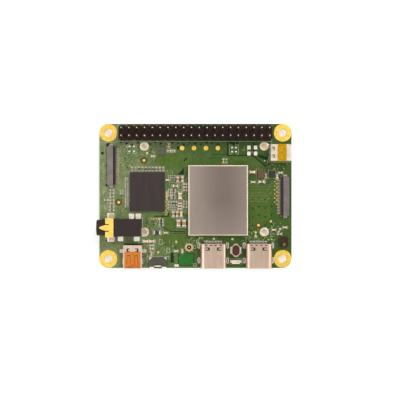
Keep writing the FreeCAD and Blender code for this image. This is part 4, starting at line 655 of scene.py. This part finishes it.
def islands(node):
    """Each separate solid of a node: centre, direction in plan, and half sizes, in millimetres."""
    shaped = bmesh.new()
    shaped.from_mesh(NODES[node].data)
    bmesh.ops.remove_doubles(shaped, verts=shaped.verts, dist=1e-7)
    seen, found = set(), []
    for start in shaped.verts:
        if start.index in seen:
            continue
        stack, members = [start], []
        seen.add(start.index)
        while stack:
            vertex = stack.pop()
            members.append(vertex)
            for edge in vertex.link_edges:
                other = edge.other_vert(vertex)
                if other.index not in seen:
                    seen.add(other.index)
                    stack.append(other)
        level = [e.verts[1].co - e.verts[0].co for v in members for e in v.link_edges
                 if abs(e.verts[1].co.z - e.verts[0].co.z) < 1e-7 and len(e.link_faces) == 2
                 and e.link_faces[0].normal.dot(e.link_faces[1].normal) < 0.5]
        longest = max(level, key=lambda d: d.length).normalized()
        over = Vector((-longest.y, longest.x, 0))
        spans = []
        for direction in (longest, over, Vector((0, 0, 1))):
            reach = [v.co.dot(direction) for v in members]
            spans.append((min(reach), max(reach)))
        centre = sum((d * (s[0] + s[1]) / 2 for d, s in zip((longest, over), spans)), Vector())
        centre.z = (spans[2][0] + spans[2][1]) / 2
        found.append((centre / MM, (longest.x, longest.y), [(s[1] - s[0]) / 2 / MM for s in spans]))
    shaped.free()
    return found


# ---- board: rings, pours, tracks and print


def gold_rings():
    """Plated rings on both faces of the corner holes, joined by the plated wall between them."""
    rings = Mesh()
    radius = MOUNTS["mounting_holes"]["dims"]["hole_r_mm"]
    face = [(RING_RADIUS, 0.0), (RING_RADIUS - 0.05, RING_LIFT), (radius + 0.08, RING_LIFT),
            (radius - 0.02, -0.03)]
    profile = [(r, TOP + z) for r, z in face] + [(r, UNDER - z) for r, z in reversed(face)]
    for x, y in HOLES:
        rings.turned(profile, x, y, 56)
    rings.piece("board_gold_rings", "gold_plating", smooth=True)


PARTS = {node: islands(node) for node in ("ceramic_capacitors", "chip_resistors")}


def darken_large_resistors():
    """The one large resistor has a dark glaze, whatever its neighbours have."""
    mesh = NODES["chip_resistors"].data
    mesh.materials.append(resistor_look("dark_resistor_glaze", 1.0))
    large = [centre for centre, _, half in PARTS["chip_resistors"] if half[0] > 0.7]
    for face in mesh.polygons:
        if any((face.center / MM - centre).length < 1.3 for centre in large):
            face.material_index = 1


def pours():
    """Copper pours that show through the mask."""
    pour = Deck("pour")
    left, right, edge = SHIELD_LOW.x, SHIELD_HIGH.x, HEADER_EDGE
    pour.flat([(10.9, 13.3), (18.8, 13.3), (23.5, 9.4), (right, 8.4), (right, 11.5), (10.9, 11.5)], 1)
    pour.flat([(CHIP_HIGH.x + 1.2, CHIP_HIGH.y + 1.2), (left - 1.4, CHIP_HIGH.y + 1.4),
               (left - 0.3, CHIP_HIGH.y + 3.4), (left - 0.3, edge - 3.4), (-6.6, edge - 3.8),
               (CHIP.x + 3.0, edge - 5.0), (CHIP.x + 2.2, CHIP_HIGH.y + 3.6)])
    pour.flat([(right + 0.6, SHIELD_HIGH.y - 8.6), (right + 7.6, SHIELD_HIGH.y - 8.6),
               (right + 7.6, SHIELD_LOW.y + 6.0), (right + 4.4, SHIELD_LOW.y + 2.6),
               (right + 0.6, SHIELD_LOW.y + 2.6)], 1)
    pour.flat([(-11.8, -6.9), (-6.5, -6.9), (-6.5, -11.6), (-8.6, -11.6), (-11.8, -9.4)])
    pour.flat([(-11.6, -13.0), (-5.2, -12.8), (left - 0.5, -13.4), (left - 0.5, -16.0),
               (-5.6, -18.0), (-11.6, -16.2)])
    pour.piece("board_pours", "board_laminate", "pour_mask", "right_pour_mask")


def gaps():
    """Bare laminate, darker through the mask: gaps between the pours, and round holes."""
    gap = Deck("gap")
    left, right, edge = SHIELD_LOW.x, SHIELD_HIGH.x, HEADER_EDGE
    gap.flat([(left - 3.6, 7.05), (left - 1.45, 7.05), (left - 1.45, 9.3)])
    gap.line([(left - 1.4, 11.6), (left - 0.4, 12.7)], 0.45)
    gap.line([(10.7, edge - 0.2), (10.7, 13.5), (18.95, 13.5), (24.2, 9.2)], 0.42)
    gap.line([(10.6, 13.9), (5.2, 13.7)], 0.16)
    gap.line([(9.6, 12.7), (4.4, 12.6)], 0.12)
    gap.line([(19.5, edge - 0.6), (19.5, 13.6)], 0.6)
    gap.flat([(11.4, edge), (14.2, edge), (14.2, edge - 1.1), (12.6, edge - 1.5), (11.4, edge - 0.9)])
    gap.flat([(20.8, 13.0), (23.4, 11.9), (25.9, 13.6), (25.2, 15.4), (24.0, 12.8), (21.0, 13.9)])
    gap.area(ANTENNA.x - 6.2, ANTENNA.y - 1.8, ANTENNA.x - 5.1, FRONT + 1.7)
    gap.area(ANTENNA.x - 3.7, ANTENNA.y - 1.9, ANTENNA.x + 1.7, FRONT + 0.8)
    gap.line([(CHIP_HIGH.x - 3.6, CHIP_LOW.y - 1.7), (CHIP_HIGH.x + 1.2, CHIP_LOW.y - 1.7),
              (CHIP_HIGH.x + 1.4, CHIP_LOW.y - 0.6)], 0.4)
    gap.line([(-11.9, -9.4), (-8.7, -11.9), (-3.6, -11.9)], 0.3)
    gap.line([(-8.6, -12.6), (-3.4, -12.4)], 0.16)
    rear = high_of("hdmi_shell").y + 0.25
    gap.line([(HDMI_X - 3.2, rear), (HDMI_X + 3.2, rear)], 0.4)
    for i in range(18):
        gap.dot(LEFT + 7.2 + 1.9 * i, edge - 0.5 - 0.35 * (i % 3), 0.3 + 0.12 * (i % 2), 10)
    for i in range(16):
        gap.dot(right + 1.6 + 2.1 * (i % 4), SHIELD_LOW.y + 3.4 + 2.9 * (i // 4) + 0.5 * (i % 2), 0.28, 10)
    for x, y, radius in ((LEFT + 1.0, 14.2, 0.5), (LEFT + 3.0, BACK - 7.2, 0.8), (LEFT + 2.4, 3.6, 0.4),
                         (-13.9, -9.5, 0.3), (-16.2, -9.0, 0.25), (-12.2, -8.4, 0.25), (-5.8, 16.0, 0.5)):
        gap.dot(x, y, radius, 12)
    gap.piece("board_gaps", "board_laminate", "dark_mask")


def antenna_clearing():
    """The bright field beside the antenna socket."""
    clearing = Deck("clearing")
    clearing.area(ANTENNA.x - 3.4, ANTENNA.y - 2.1, ANTENNA.x + 1.45, FRONT + 1.0)
    clearing.piece("board_antenna_clearing", "board_laminate", "bright_mask")


def tracks():
    """Bundles of tracks under the mask, from connectors and processor."""
    track = Deck("track")
    for i in range(10):
        y = middle_of("camera_connector_housing").y - 4.6 + 0.5 * i
        turn = CAMERA_TAIL + 0.5 + 0.18 * (9 - i)
        fall = 0.9 + 0.12 * i
        track.line([(CAMERA_TAIL - 0.2, y), (turn, y), (turn + fall, y - fall),
                    (CHIP_LOW.x + 0.4, y - fall)])
    for i in range(12):
        y = middle_of("display_connector_housing").y + 4.8 - 0.5 * i
        turn = DISPLAY_TAIL - 1.9 - 0.2 * (i % 6)
        track.line([(DISPLAY_TAIL + 0.2, y), (turn, y), (turn - 1.0, y - 1.0),
                    (SHIELD_HIGH.x - 0.5, y - 1.0)])
    for node in ("usb_data_shell", "usb_power_shell"):
        for i in range(8):
            x = middle_of(node).x - 1.75 + 0.5 * i
            track.line([(x, USB_REAR), (x, USB_REAR + 0.5), (x - 0.6, USB_REAR + 1.1),
                        (x - 0.6, USB_REAR + 2.2)], 0.12)
    for i in range(6):
        y = CHIP_LOW.y + 1.0 + 0.42 * i
        track.line([(CHIP_HIGH.x - 0.2, y), (CHIP_HIGH.x + 1.6, y), (CHIP_HIGH.x + 3.0, y - 1.4),
                    (SHIELD_LOW.x + 0.3, y - 1.4)])
    for i in range(8):
        x = CHIP.x - 3.6 + 0.42 * i
        bend = x + 1.0 + 0.1 * i
        track.line([(x, CHIP_LOW.y + 0.3), (x, CHIP_LOW.y - 0.9), (bend, CHIP_LOW.y - 1.9 - 0.1 * i),
                    (bend, CHIP_LOW.y - 4.0 - 0.5 * i)])
    for i in range(7):
        y = FRONT + 4.6 + 0.55 * i
        track.line([(HDMI_X + 3.6, y), (HDMI_X + 4.6, y), (HDMI_X + 5.4 + 0.2 * i, y + 0.8)], 0.12)
    track.line([(ANTENNA.x, ANTENNA.y + 1.3), (ANTENNA.x, SHIELD_LOW.y - 1.6),
                (ANTENNA.x + 1.8, SHIELD_LOW.y)], 0.3)
    track.piece("board_tracks", "board_laminate", "track_mask")


CLUSTERS = (
    # middle, reach and number of the small holes and short runs of copper under the mask
    (-23.8, 12.0, 3.0, 5.0, 56), (-29.6, 2.0, 1.3, 11.0, 66), (-23.6, -1.5, 1.0, 5.0, 20),
    (-6.2, 1.5, 2.6, 7.0, 60), (-14.0, -9.2, 2.4, 2.2, 34), (-15.6, -17.6, 2.6, 2.6, 30),
    (-8.6, -17.8, 2.2, 2.2, 26), (-27.8, -14.0, 2.6, 1.6, 16), (22.2, -12.6, 3.6, 1.6, 30),
    (10.0, -12.9, 7.0, 0.6, 26), (27.2, 10.0, 3.4, 1.4, 22), (-16.5, 14.6, 5.0, 1.4, 24),
    (26.8, -11.2, 1.8, 2.2, 16), (16.2, 15.6, 4.4, 1.6, 16), (18.6, -14.7, 3.4, 0.9, 34),
    (17.6, -12.6, 1.2, 1.4, 20), (24.6, -13.8, 2.2, 1.6, 24), (3.2, -14.7, 3.2, 0.8, 24),
    (-1.6, -15.0, 1.4, 0.7, 14), (-27.4, 9.0, 1.2, 5.0, 20),
)


def small_copper():
    """Tented holes and short copper runs: deep dots, pale dots and pale strokes, in clusters."""
    deep, pale = Deck("tented hole"), Deck("short track")
    for x, y, wide, tall, count in CLUSTERS:
        for i in range(count):
            spot = (x + chance.uniform(-wide, wide), y + chance.uniform(-tall, tall))
            if i % 3 == 0:
                deep.dot(*spot, chance.uniform(0.12, 0.24), 8)
            elif i % 3 == 1:
                pale.ring(*spot, 0.07, 0.17, 8)
            else:
                run = chance.uniform(0.5, 1.3)
                dx, dy = ((run, 0), (0, run), (run * 0.7, run * 0.7))[chance.randrange(3)]
                pale.line([spot, (spot[0] + dx, spot[1] + dy)])
    deep.piece("board_tented_holes", "board_laminate", "dark_mask")
    pale.piece("board_short_tracks", "board_laminate", "pale_mask")


def fiducials_and_lands():
    """Gold lands: sighting marks, test points, four spare lands and the vias' rings."""
    dark, gold, aged = Deck("sighting ring"), Deck("land"), Deck("land")
    for x, y in ((-17.16, 11.8), (-25.6, -2.14), (20.96, -9.77)):
        dark.dot(x, y, 1.15)
        gold.dot(x, y, 0.47)
    dark.piece("board_sighting_rings", "board_laminate", "ring_mask")
    for i in range(4):
        gold.dot(-4.47 + 3.97 * i, BACK - 8.1, 0.76)
    for x, y in ((-16.1, 14.3), (-6.4, -15.3), (6.1, -14.3), (12.3, -14.4), (25.1, -8.5), (20.05, -12.2),
                 (20.05, -13.3), (-12.4, -18.8)):
        aged.dot(x, y, 0.4, 14)
    for x, y in ((1.3, -14.0), (2.0, -14.0), (24.4, -14.6), (25.4, -14.5), (-22.9, 16.4), (23.0, 11.7)):
        aged.dot(x, y, 0.26, 10)
    for i in range(11):
        gold.ring(CHIP_HIGH.x + 0.45 + 0.35 * (i % 2), CHIP_LOW.y + 6.0 - 0.72 * i, 0.1, 0.24, 10)
    for i in range(13):
        gold.ring(DISPLAY_TAIL - 0.45 - 0.6 * (i % 2), 5.4 - 0.68 * i, 0.1, 0.22, 10)
    for i in range(5):
        gold.ring(CHIP.x + 1.4 + 0.75 * i, CHIP_LOW.y - 2.5 - 0.15 * (i % 2), 0.1, 0.24, 10)
    gold.piece("board_gold_lands", "gold_plating")
    aged.piece("board_test_points", "gold_plating", "aged_gold")


SPARE_PARTS = ((-21.25, 15.65, 0.75, 0.85), (12.85, 15.4, 0.65, 0.7))  # middle and half spacing of four pads


def usb_legs(inset):
    """Middles of the soldered legs of both sockets, at an inset from the shells' sides."""
    spots = []
    for node in ("usb_data_shell", "usb_power_shell"):
        low, high = ends_of(node)
        spots += [(x, y) for x in (low.x + inset, high.x - inset) for y in (FRONT + 2.5, high.y - 1.2)]
    return spots


def bare_footprints():
    """Tinned pads of parts that are left off, and pads beneath feet and tails."""
    pads, dull = Deck("tinned pad"), Deck("soldered pad")
    for spare in SPARE_PARTS:
        for x, y in four_round(*spare):
            pads.pad(x, y, 0.62, 0.5)
    for x in (17.8, 20.0):
        for y in (16.1, 14.1):
            pads.pad(x, y, 1.15, 1.25, 0.1)
    for plan in ((-6.5, -18.4, 0.55, 0.6), (-4.3, -18.4, 0.55, 0.6), (-6.3, -23.2, 1.4, 0.75),
                 (27.3, 6.1, 0.5, 0.9)):
        pads.pad(*plan, 0.08)
    for node, shift in (("camera_connector_contacts", 0.12), ("display_connector_contacts", -0.12)):
        for centre, _, half in islands(node):
            if half[2] < 0.12:
                dull.pad(centre.x + shift, centre.y, 1.1 if half[0] < 0.5 else 1.5, 0.23, 0.04)
    for node in ("usb_data_contacts", "usb_power_contacts"):
        for centre, _, half in islands(node):
            if half[2] > 0.06:
                pads.pad(centre.x, centre.y + 0.1, 0.27, 0.95, 0.04)
    for x, y in usb_legs(-0.05):
        pads.line(rounded(x, y, 0.75, 1.75, 0.35), 0.2, closed=True)
    for x in (low_of("hdmi_shell").x + 0.5, high_of("hdmi_shell").x - 0.5):
        dull.pad(x, FRONT + 5.65, 1.6, 1.3, 0.1)
    for node in ("audio_jack_contacts", "audio_jack_collar"):
        for x, y, length in jack_feet(node):
            pads.pad(x, y, length, 1.6, 0.1)
    pads.piece("board_tinned_pads", "tinned_metal")
    dull.piece("board_soldered_pads", "tinned_metal", "cable_tails")


def jack_feet(node):
    """Middle and length of the soldered feet on both sides of the audio jack."""
    low, high = ends_of(node)
    if node == "audio_jack_collar":
        x = middle_of(node).x + 1.0
        return [(x, low.y + 0.5, 2.3), (x, high.y - 0.5, 2.3)]
    middle = middle_of("audio_jack_housing").y
    return [(centre.x, centre.y + (0.9 if centre.y > middle else -0.9), 2 * min(half[:2]) + 0.3)
            for centre, _, half in islands(node)]


def board_print():
    """White outlines printed round the parts; there is no lettering."""
    ink = Deck("print", 0.004)
    ink.frame(CHIP.x, CHIP.y, 12.3, 13.7, THIN, gap=10.4)
    everything = sum(PARTS.values(), [])
    for centre, across, half in everything:
        crowd = sum((other[0] - centre).length < 1.35 for other in everything) - 1
        long, wide = 2 * half[0], 2 * half[1]
        if centre.x < CHIP_HIGH.x and centre.y > CHIP_LOW.y and long < 1.2:
            ink.frame(centre.x, centre.y, long + 0.75, wide + 0.3, FINE, across)
        elif 0.9 < long < 2.4 and crowd < 2:
            ink.frame(centre.x, centre.y, long + 0.95, wide + 0.45, FINE, across, long - 0.2)
    for node, grow in (("power_inductor", 0.7), ("regulator_chip", 0.7), ("status_led_case", 0.8)):
        ink.frame(*plan_of(node, grow), THIN)
    for x, y, *_ in SPARE_PARTS:
        ink.frame(x, y, 2.9, 3.1, 0.12, gap=1.0)
    for plan in ((-8.9, 16.8, 1.2, 1.2), (-8.8, 15.0, 1.1, 1.3), (-7.5, 15.0, 1.3, 1.1),
                 (-9.1, -18.2, 1.0, 1.6), (-11.6, -15.4, 1.0, 1.6), (-0.3, -17.0, 0.8, 1.0),
                 (-0.2, -23.0, 1.0, 0.8), (-14.4, -18.6, 1.2, 1.4), (0.6, -15.2, 0.7, 1.0)):
        ink.frame(*plan, 0.15)
    for i in range(30):
        ink.frame(-7.7 + 1.3 * (i % 5), 5.2 - 2.0 * (i // 5) - 0.3 * (i % 2), 1.0, 1.5, FINE)
    ink.line([(LEFT + 0.5, BACK - 6.2), (LEFT + 6.0, BACK - 6.2), (LEFT + 6.0, BACK - 0.5)], 0.12)
    ink.line([(LEFT + 5.4, HEADER_Y - 2.78), (RIGHT - 6.6, HEADER_Y - 2.78)], 0.13)
    ink.line([(RIGHT - 6.6, BACK - 0.5), (RIGHT - 6.6, BACK - 6.6), (RIGHT - 8.0, BACK - 12.6)])
    low, high = ends_of("terminal_housing")
    ink.line([(low.x + 0.2, low.y - 0.3), (high.x, low.y - 0.3)], PRINT)
    ink.line([(low.x - 0.25, low.y - 0.3), (low.x - 0.25, high.y + 0.3)], PRINT)
    low, high = ends_of("audio_jack_housing")
    ink.line([(high.x + 0.3, low.y - 0.2), (high.x + 0.3, high.y + 0.2)], PRINT)
    low, high = ends_of("power_switch_case")
    left, right, rear = low.x - 0.9, high.x + 0.9, high.y + 0.5
    ink.line([(left, high.y - 0.6), (left, rear), (right, rear), (right, high.y - 0.6)], PRINT)
    ink.dot(CHIP_HIGH.x + 0.9, CHIP_HIGH.y + 0.5, 0.22, 10)
    ink.dot((low.x + high.x) / 2 + 7.0, FRONT + 3.2, 0.14, 8)
    ink.piece("board_print_top", "white_moulding", "print")

    below = Deck("print", 0.004, under=True)
    for node in ("memory_laminate", "storage_laminate"):
        below.frame(*plan_of(node, 0.9), 0.14)
    below.frame(middle_of("header_housing").x, HEADER_Y, 51.5, 5.6, 0.15)
    for x, y in NUTS:
        below.ring(x, y, 2.75, 2.9, 36)
    below.piece("board_print_under", "white_moulding", "print")


# ---- soldered parts


def chip_terminations():
    """Tinned end caps, pads and fillets of every chip capacitor and resistor."""
    caps, pads = Mesh(), Deck("chip pad")
    for node, parts in PARTS.items():
        for centre, across, half in parts:
            long, wide, tall = half
            at = offsets_from(centre.x, centre.y, across)
            cover = max(0.1, long * (0.4 if node == "ceramic_capacitors" else 0.28))
            reach = min(0.3, long * 0.35)
            low, lift = TOP + 0.01, TOP + 0.02 + min(0.3, tall * 1.1)
            for sign in (-1, 1):
                cap = at(sign * (long - cover / 2 + 0.01), 0)
                size = (cover / 2 + 0.012, wide + 0.014, tall + 0.014)
                caps.block((*cap, centre.z + 0.006), size, 0.03, across)
                start, toe = sign * (long + 0.015), sign * (long + reach)
                corners = [(start, -wide, low), (start, wide, low), (start, wide, lift), (start, -wide, lift),
                           (toe, -wide * 0.9, low), (toe, wide * 0.9, low)]
                caps.add([(*at(along, over), z) for along, over, z in corners],
                         [(0, 1, 2, 3), (3, 2, 5, 4), (0, 3, 4), (1, 5, 2), (0, 4, 5, 1)], 1)
                foot = at(sign * (long + reach / 2 - 0.05), 0)
                pads.pad(*foot, reach + 0.25, 2 * wide + 0.12, 0.05, across)
    caps.piece("chip_end_caps", "tinned_metal", "tinned_metal", "solder")
    pads.piece("chip_pads", "tinned_metal", "solder")


def ball_grid(chip, pitch, rows, under=False):
    """The outer rows of solder balls between a chip and the board."""
    low, high = ends_of(chip + "_laminate")
    x, y, length, width = plan_of(chip + "_laminate")
    face, chip_face = (UNDER, high.z) if under else (TOP, low.z)
    gap = abs(chip_face - face)
    profile = [(0.1, -gap / 2), (0.17, -gap / 5), (0.17, gap / 5), (0.1, gap / 2)]
    balls = Mesh()
    across = int((length - 0.8) / pitch)
    deep = int((width - 0.8) / pitch)
    for i in range(across + 1):
        for j in range(deep + 1):
            if min(i, j, across - i, deep - j) < rows:
                spot = (x + (i - across / 2) * pitch, y + (j - deep / 2) * pitch)
                balls.turned(profile, *spot, 8, (face + chip_face) / 2, ends=True)
    balls.piece(chip + "_solder_balls", "tinned_metal", "solder", smooth=True)


def nut_faces():
    """Solder on the ends of the nuts' shanks on the top face, and round their flanges."""
    faces = Mesh()
    radius, bore = SHANK_RADIUS, SHANK_RADIUS - 0.62
    rim = [(radius + 0.04, -0.01), (radius - 0.02, 0.07), (radius - 0.2, 0.11), (bore, 0.08)]
    well = [(bore, 0.08), (bore - 0.16, 0.04), (0.35, 0.025), (0.01, 0.03)]
    fillet = [(2.75, -0.015), (2.6, -0.1), (2.0, -0.2)]
    for x, y in NUTS:
        for index, (profile, level) in enumerate(((rim, TOP), (well, TOP), (fillet, UNDER))):
            faces.turned(profile, x, y, 36, level, index)
    faces.piece("nut_solder_faces", "tinned_metal", "bright_solder", "pink_tin", "solder", smooth=True)


def tail_cones():
    """Solder cones round the connectors' tails under the board."""
    cones, rings = Mesh(), Deck("soldered pad", under=True)
    start = middle_of("header_pins").x - (COLUMNS - 1) / 2 * PITCH
    for column in range(COLUMNS):
        for row in (-0.5, 0.5):
            x, y = start + column * PITCH, HEADER_Y + row * PITCH
            cones.turned([(0.8, -0.02), (0.62, -0.18), (0.48, -0.5), (0.42, -0.8)], x, y, 14, UNDER)
            rings.ring(x, y, 0.5, 0.88, 16)
    x = low_of("terminal_contacts").x + 0.12
    for screw in ("terminal_screw_1", "terminal_screw_2"):
        y = middle_of(screw).y
        cones.turned([(0.95, -0.02), (0.7, -0.2), (0.6, -0.55)], x, y, 14, UNDER)
        rings.ring(x, y, 0.5, 1.05, 16)
    for x, y in usb_legs(0.1):
        rings.flat(rounded(x, y, 1.1, 2.1, 0.5))
        cones.block((x, y, UNDER - 0.16), (0.3, 0.75, 0.14), 0.08)
    cones.piece("tail_solder_cones", "tinned_metal", "solder", smooth=True)
    rings.piece("tail_solder_rings", "tinned_metal")


def switch_details():
    """The pale bar on the power switch's plunger, and the end caps of the lamp."""
    low, high = ends_of("power_switch_plunger")
    bar = Mesh()
    bar.plate(rounded((low.x + high.x) / 2, low.y + 0.74, 2.2, 0.52, 0.12), high.z - 0.02, high.z + 0.05)
    bar.piece("plunger_bar", "white_moulding", body="switch_plunger")
    low, high = ends_of("status_led_case")
    (_, y, z), half = middle_of("status_led_case"), (high - low) / 2
    ends = Mesh()
    for x in (low.x + 0.25, high.x - 0.25):
        ends.block((x, y, z + 0.005), (0.3, half.y + 0.02, half.z + 0.01), 0.05)
    ends.piece("lamp_end_caps", "tinned_metal", "pink_tin")


def small_marks():
    """First pin dimples of the chips, a dark ring of painted shade in the antenna socket's well, and the
    microphone's gold port rim.
    """
    marks = Mesh()
    # painted shade: a flat dark ring laid in the antenna socket's well
    x, y, _ = middle_of("antenna_socket_contacts")
    marks.turned([(0.26, 0.02), (0.72, 0.02)], x, y, 32, high_of("antenna_socket_base").z)
    for node, sign in (("processor_mould", 1), ("memory_mould", -1), ("storage_mould", -1)):
        low, high = ends_of(node)
        dimple = [(0.42, sign * 0.004), (0.36, sign * 0.001), (0.01, sign * 0.004)]
        marks.turned(dimple, low.x + 1.3, high.y - 1.3, 24, high.z if sign > 0 else low.z)
    marks.piece("chip_pin_marks_and_socket_shade", "chip_mould", "black_moulding")
    low, high = ends_of("microphone_can")
    rim = Mesh()
    rim.turned([(0.36, 0.0), (0.34, 0.015), (0.28, 0.015), (0.26, -0.3)],
               (low.x + high.x) / 2 + 0.05, low.y + 1.0, 24, high.z)
    rim.piece("microphone_port_rim", "gold_plating")


gold_rings()
darken_large_resistors()
pours()
gaps()
antenna_clearing()
tracks()
small_copper()
fiducials_and_lands()
bare_footprints()
board_print()
chip_terminations()
ball_grid("processor", 0.65, 2)
ball_grid("memory", 0.8, 1, under=True)
ball_grid("storage", 0.8, 1, under=True)
nut_faces()
tail_cones()
switch_details()
small_marks()


# ---- stage, light and camera


def stage_floor():
    """A pale floor that stays white to the camera and keeps the shadow."""
    data = bpy.data.meshes.new("floor")
    level, size = cad_box[0][2], 3.0
    corners = ((-size, -size), (size, -size), (size, size), (-size, size))
    data.from_pydata([(x, y, level) for x, y in corners], [], [(0, 1, 2, 3)])
    look = Look("floor_paper", (0.86, 0.86, 0.86, 1), 0.9, Specular_IOR_Level=0.1,
                Emission_Color=(1, 1, 1, 1))
    look.mottled(0.01, 8.0)
    look.give("Emission Strength", look.math("MULTIPLY", look.seen(), 0.39))
    data.materials.append(look.material)
    floor = placed("floor", data)


def studio_world():
    """An even pale surround, white where the camera or a gloss sees it."""
    world = bpy.data.worlds.new("studio")
    bpy.context.scene.world = world
    world.use_nodes = True
    graph = Graph(world.node_tree)
    background = graph.tree.nodes["Background"]
    graph.join((1, 1, 1, 1), background.inputs["Color"])
    graph.join(graph.ranged(graph.seen(), 0.0, 1.0, 0.5, 1.0), background.inputs["Strength"])


def lamp(name, spot, size, watts):
    """A square softbox that faces the part."""
    data = bpy.data.lights.new(name, "AREA")
    data.size = size
    data.energy = watts
    made = placed(name, data)
    made.location = spot
    made.rotation_euler = (-Vector(spot)).to_track_quat("-Z", "Y").to_euler()


def photo_camera():
    """Straight above the board, a little off its middle."""
    data = bpy.data.cameras.new("camera")
    height, half_view = 325 * MM, 66.6 * MM
    data.angle = 2 * atan(half_view / height)
    data.clip_start = 0.005
    data.clip_end = 20
    camera = placed("camera", data)
    camera.location = (1.5 * MM, -1.38 * MM, TOP * MM + height)
    bpy.context.scene.camera = camera


stage_floor()
studio_world()
lamp("key", (0.22, 0.28, 0.42), 0.25, 1.9)
lamp("fill", (-0.3, -0.1, 0.4), 0.35, 0.9)
lamp("side", (0.36, -0.12, 0.16), 0.25, 0.45)
photo_camera()
bpy.context.scene.view_settings.view_transform = "Standard"
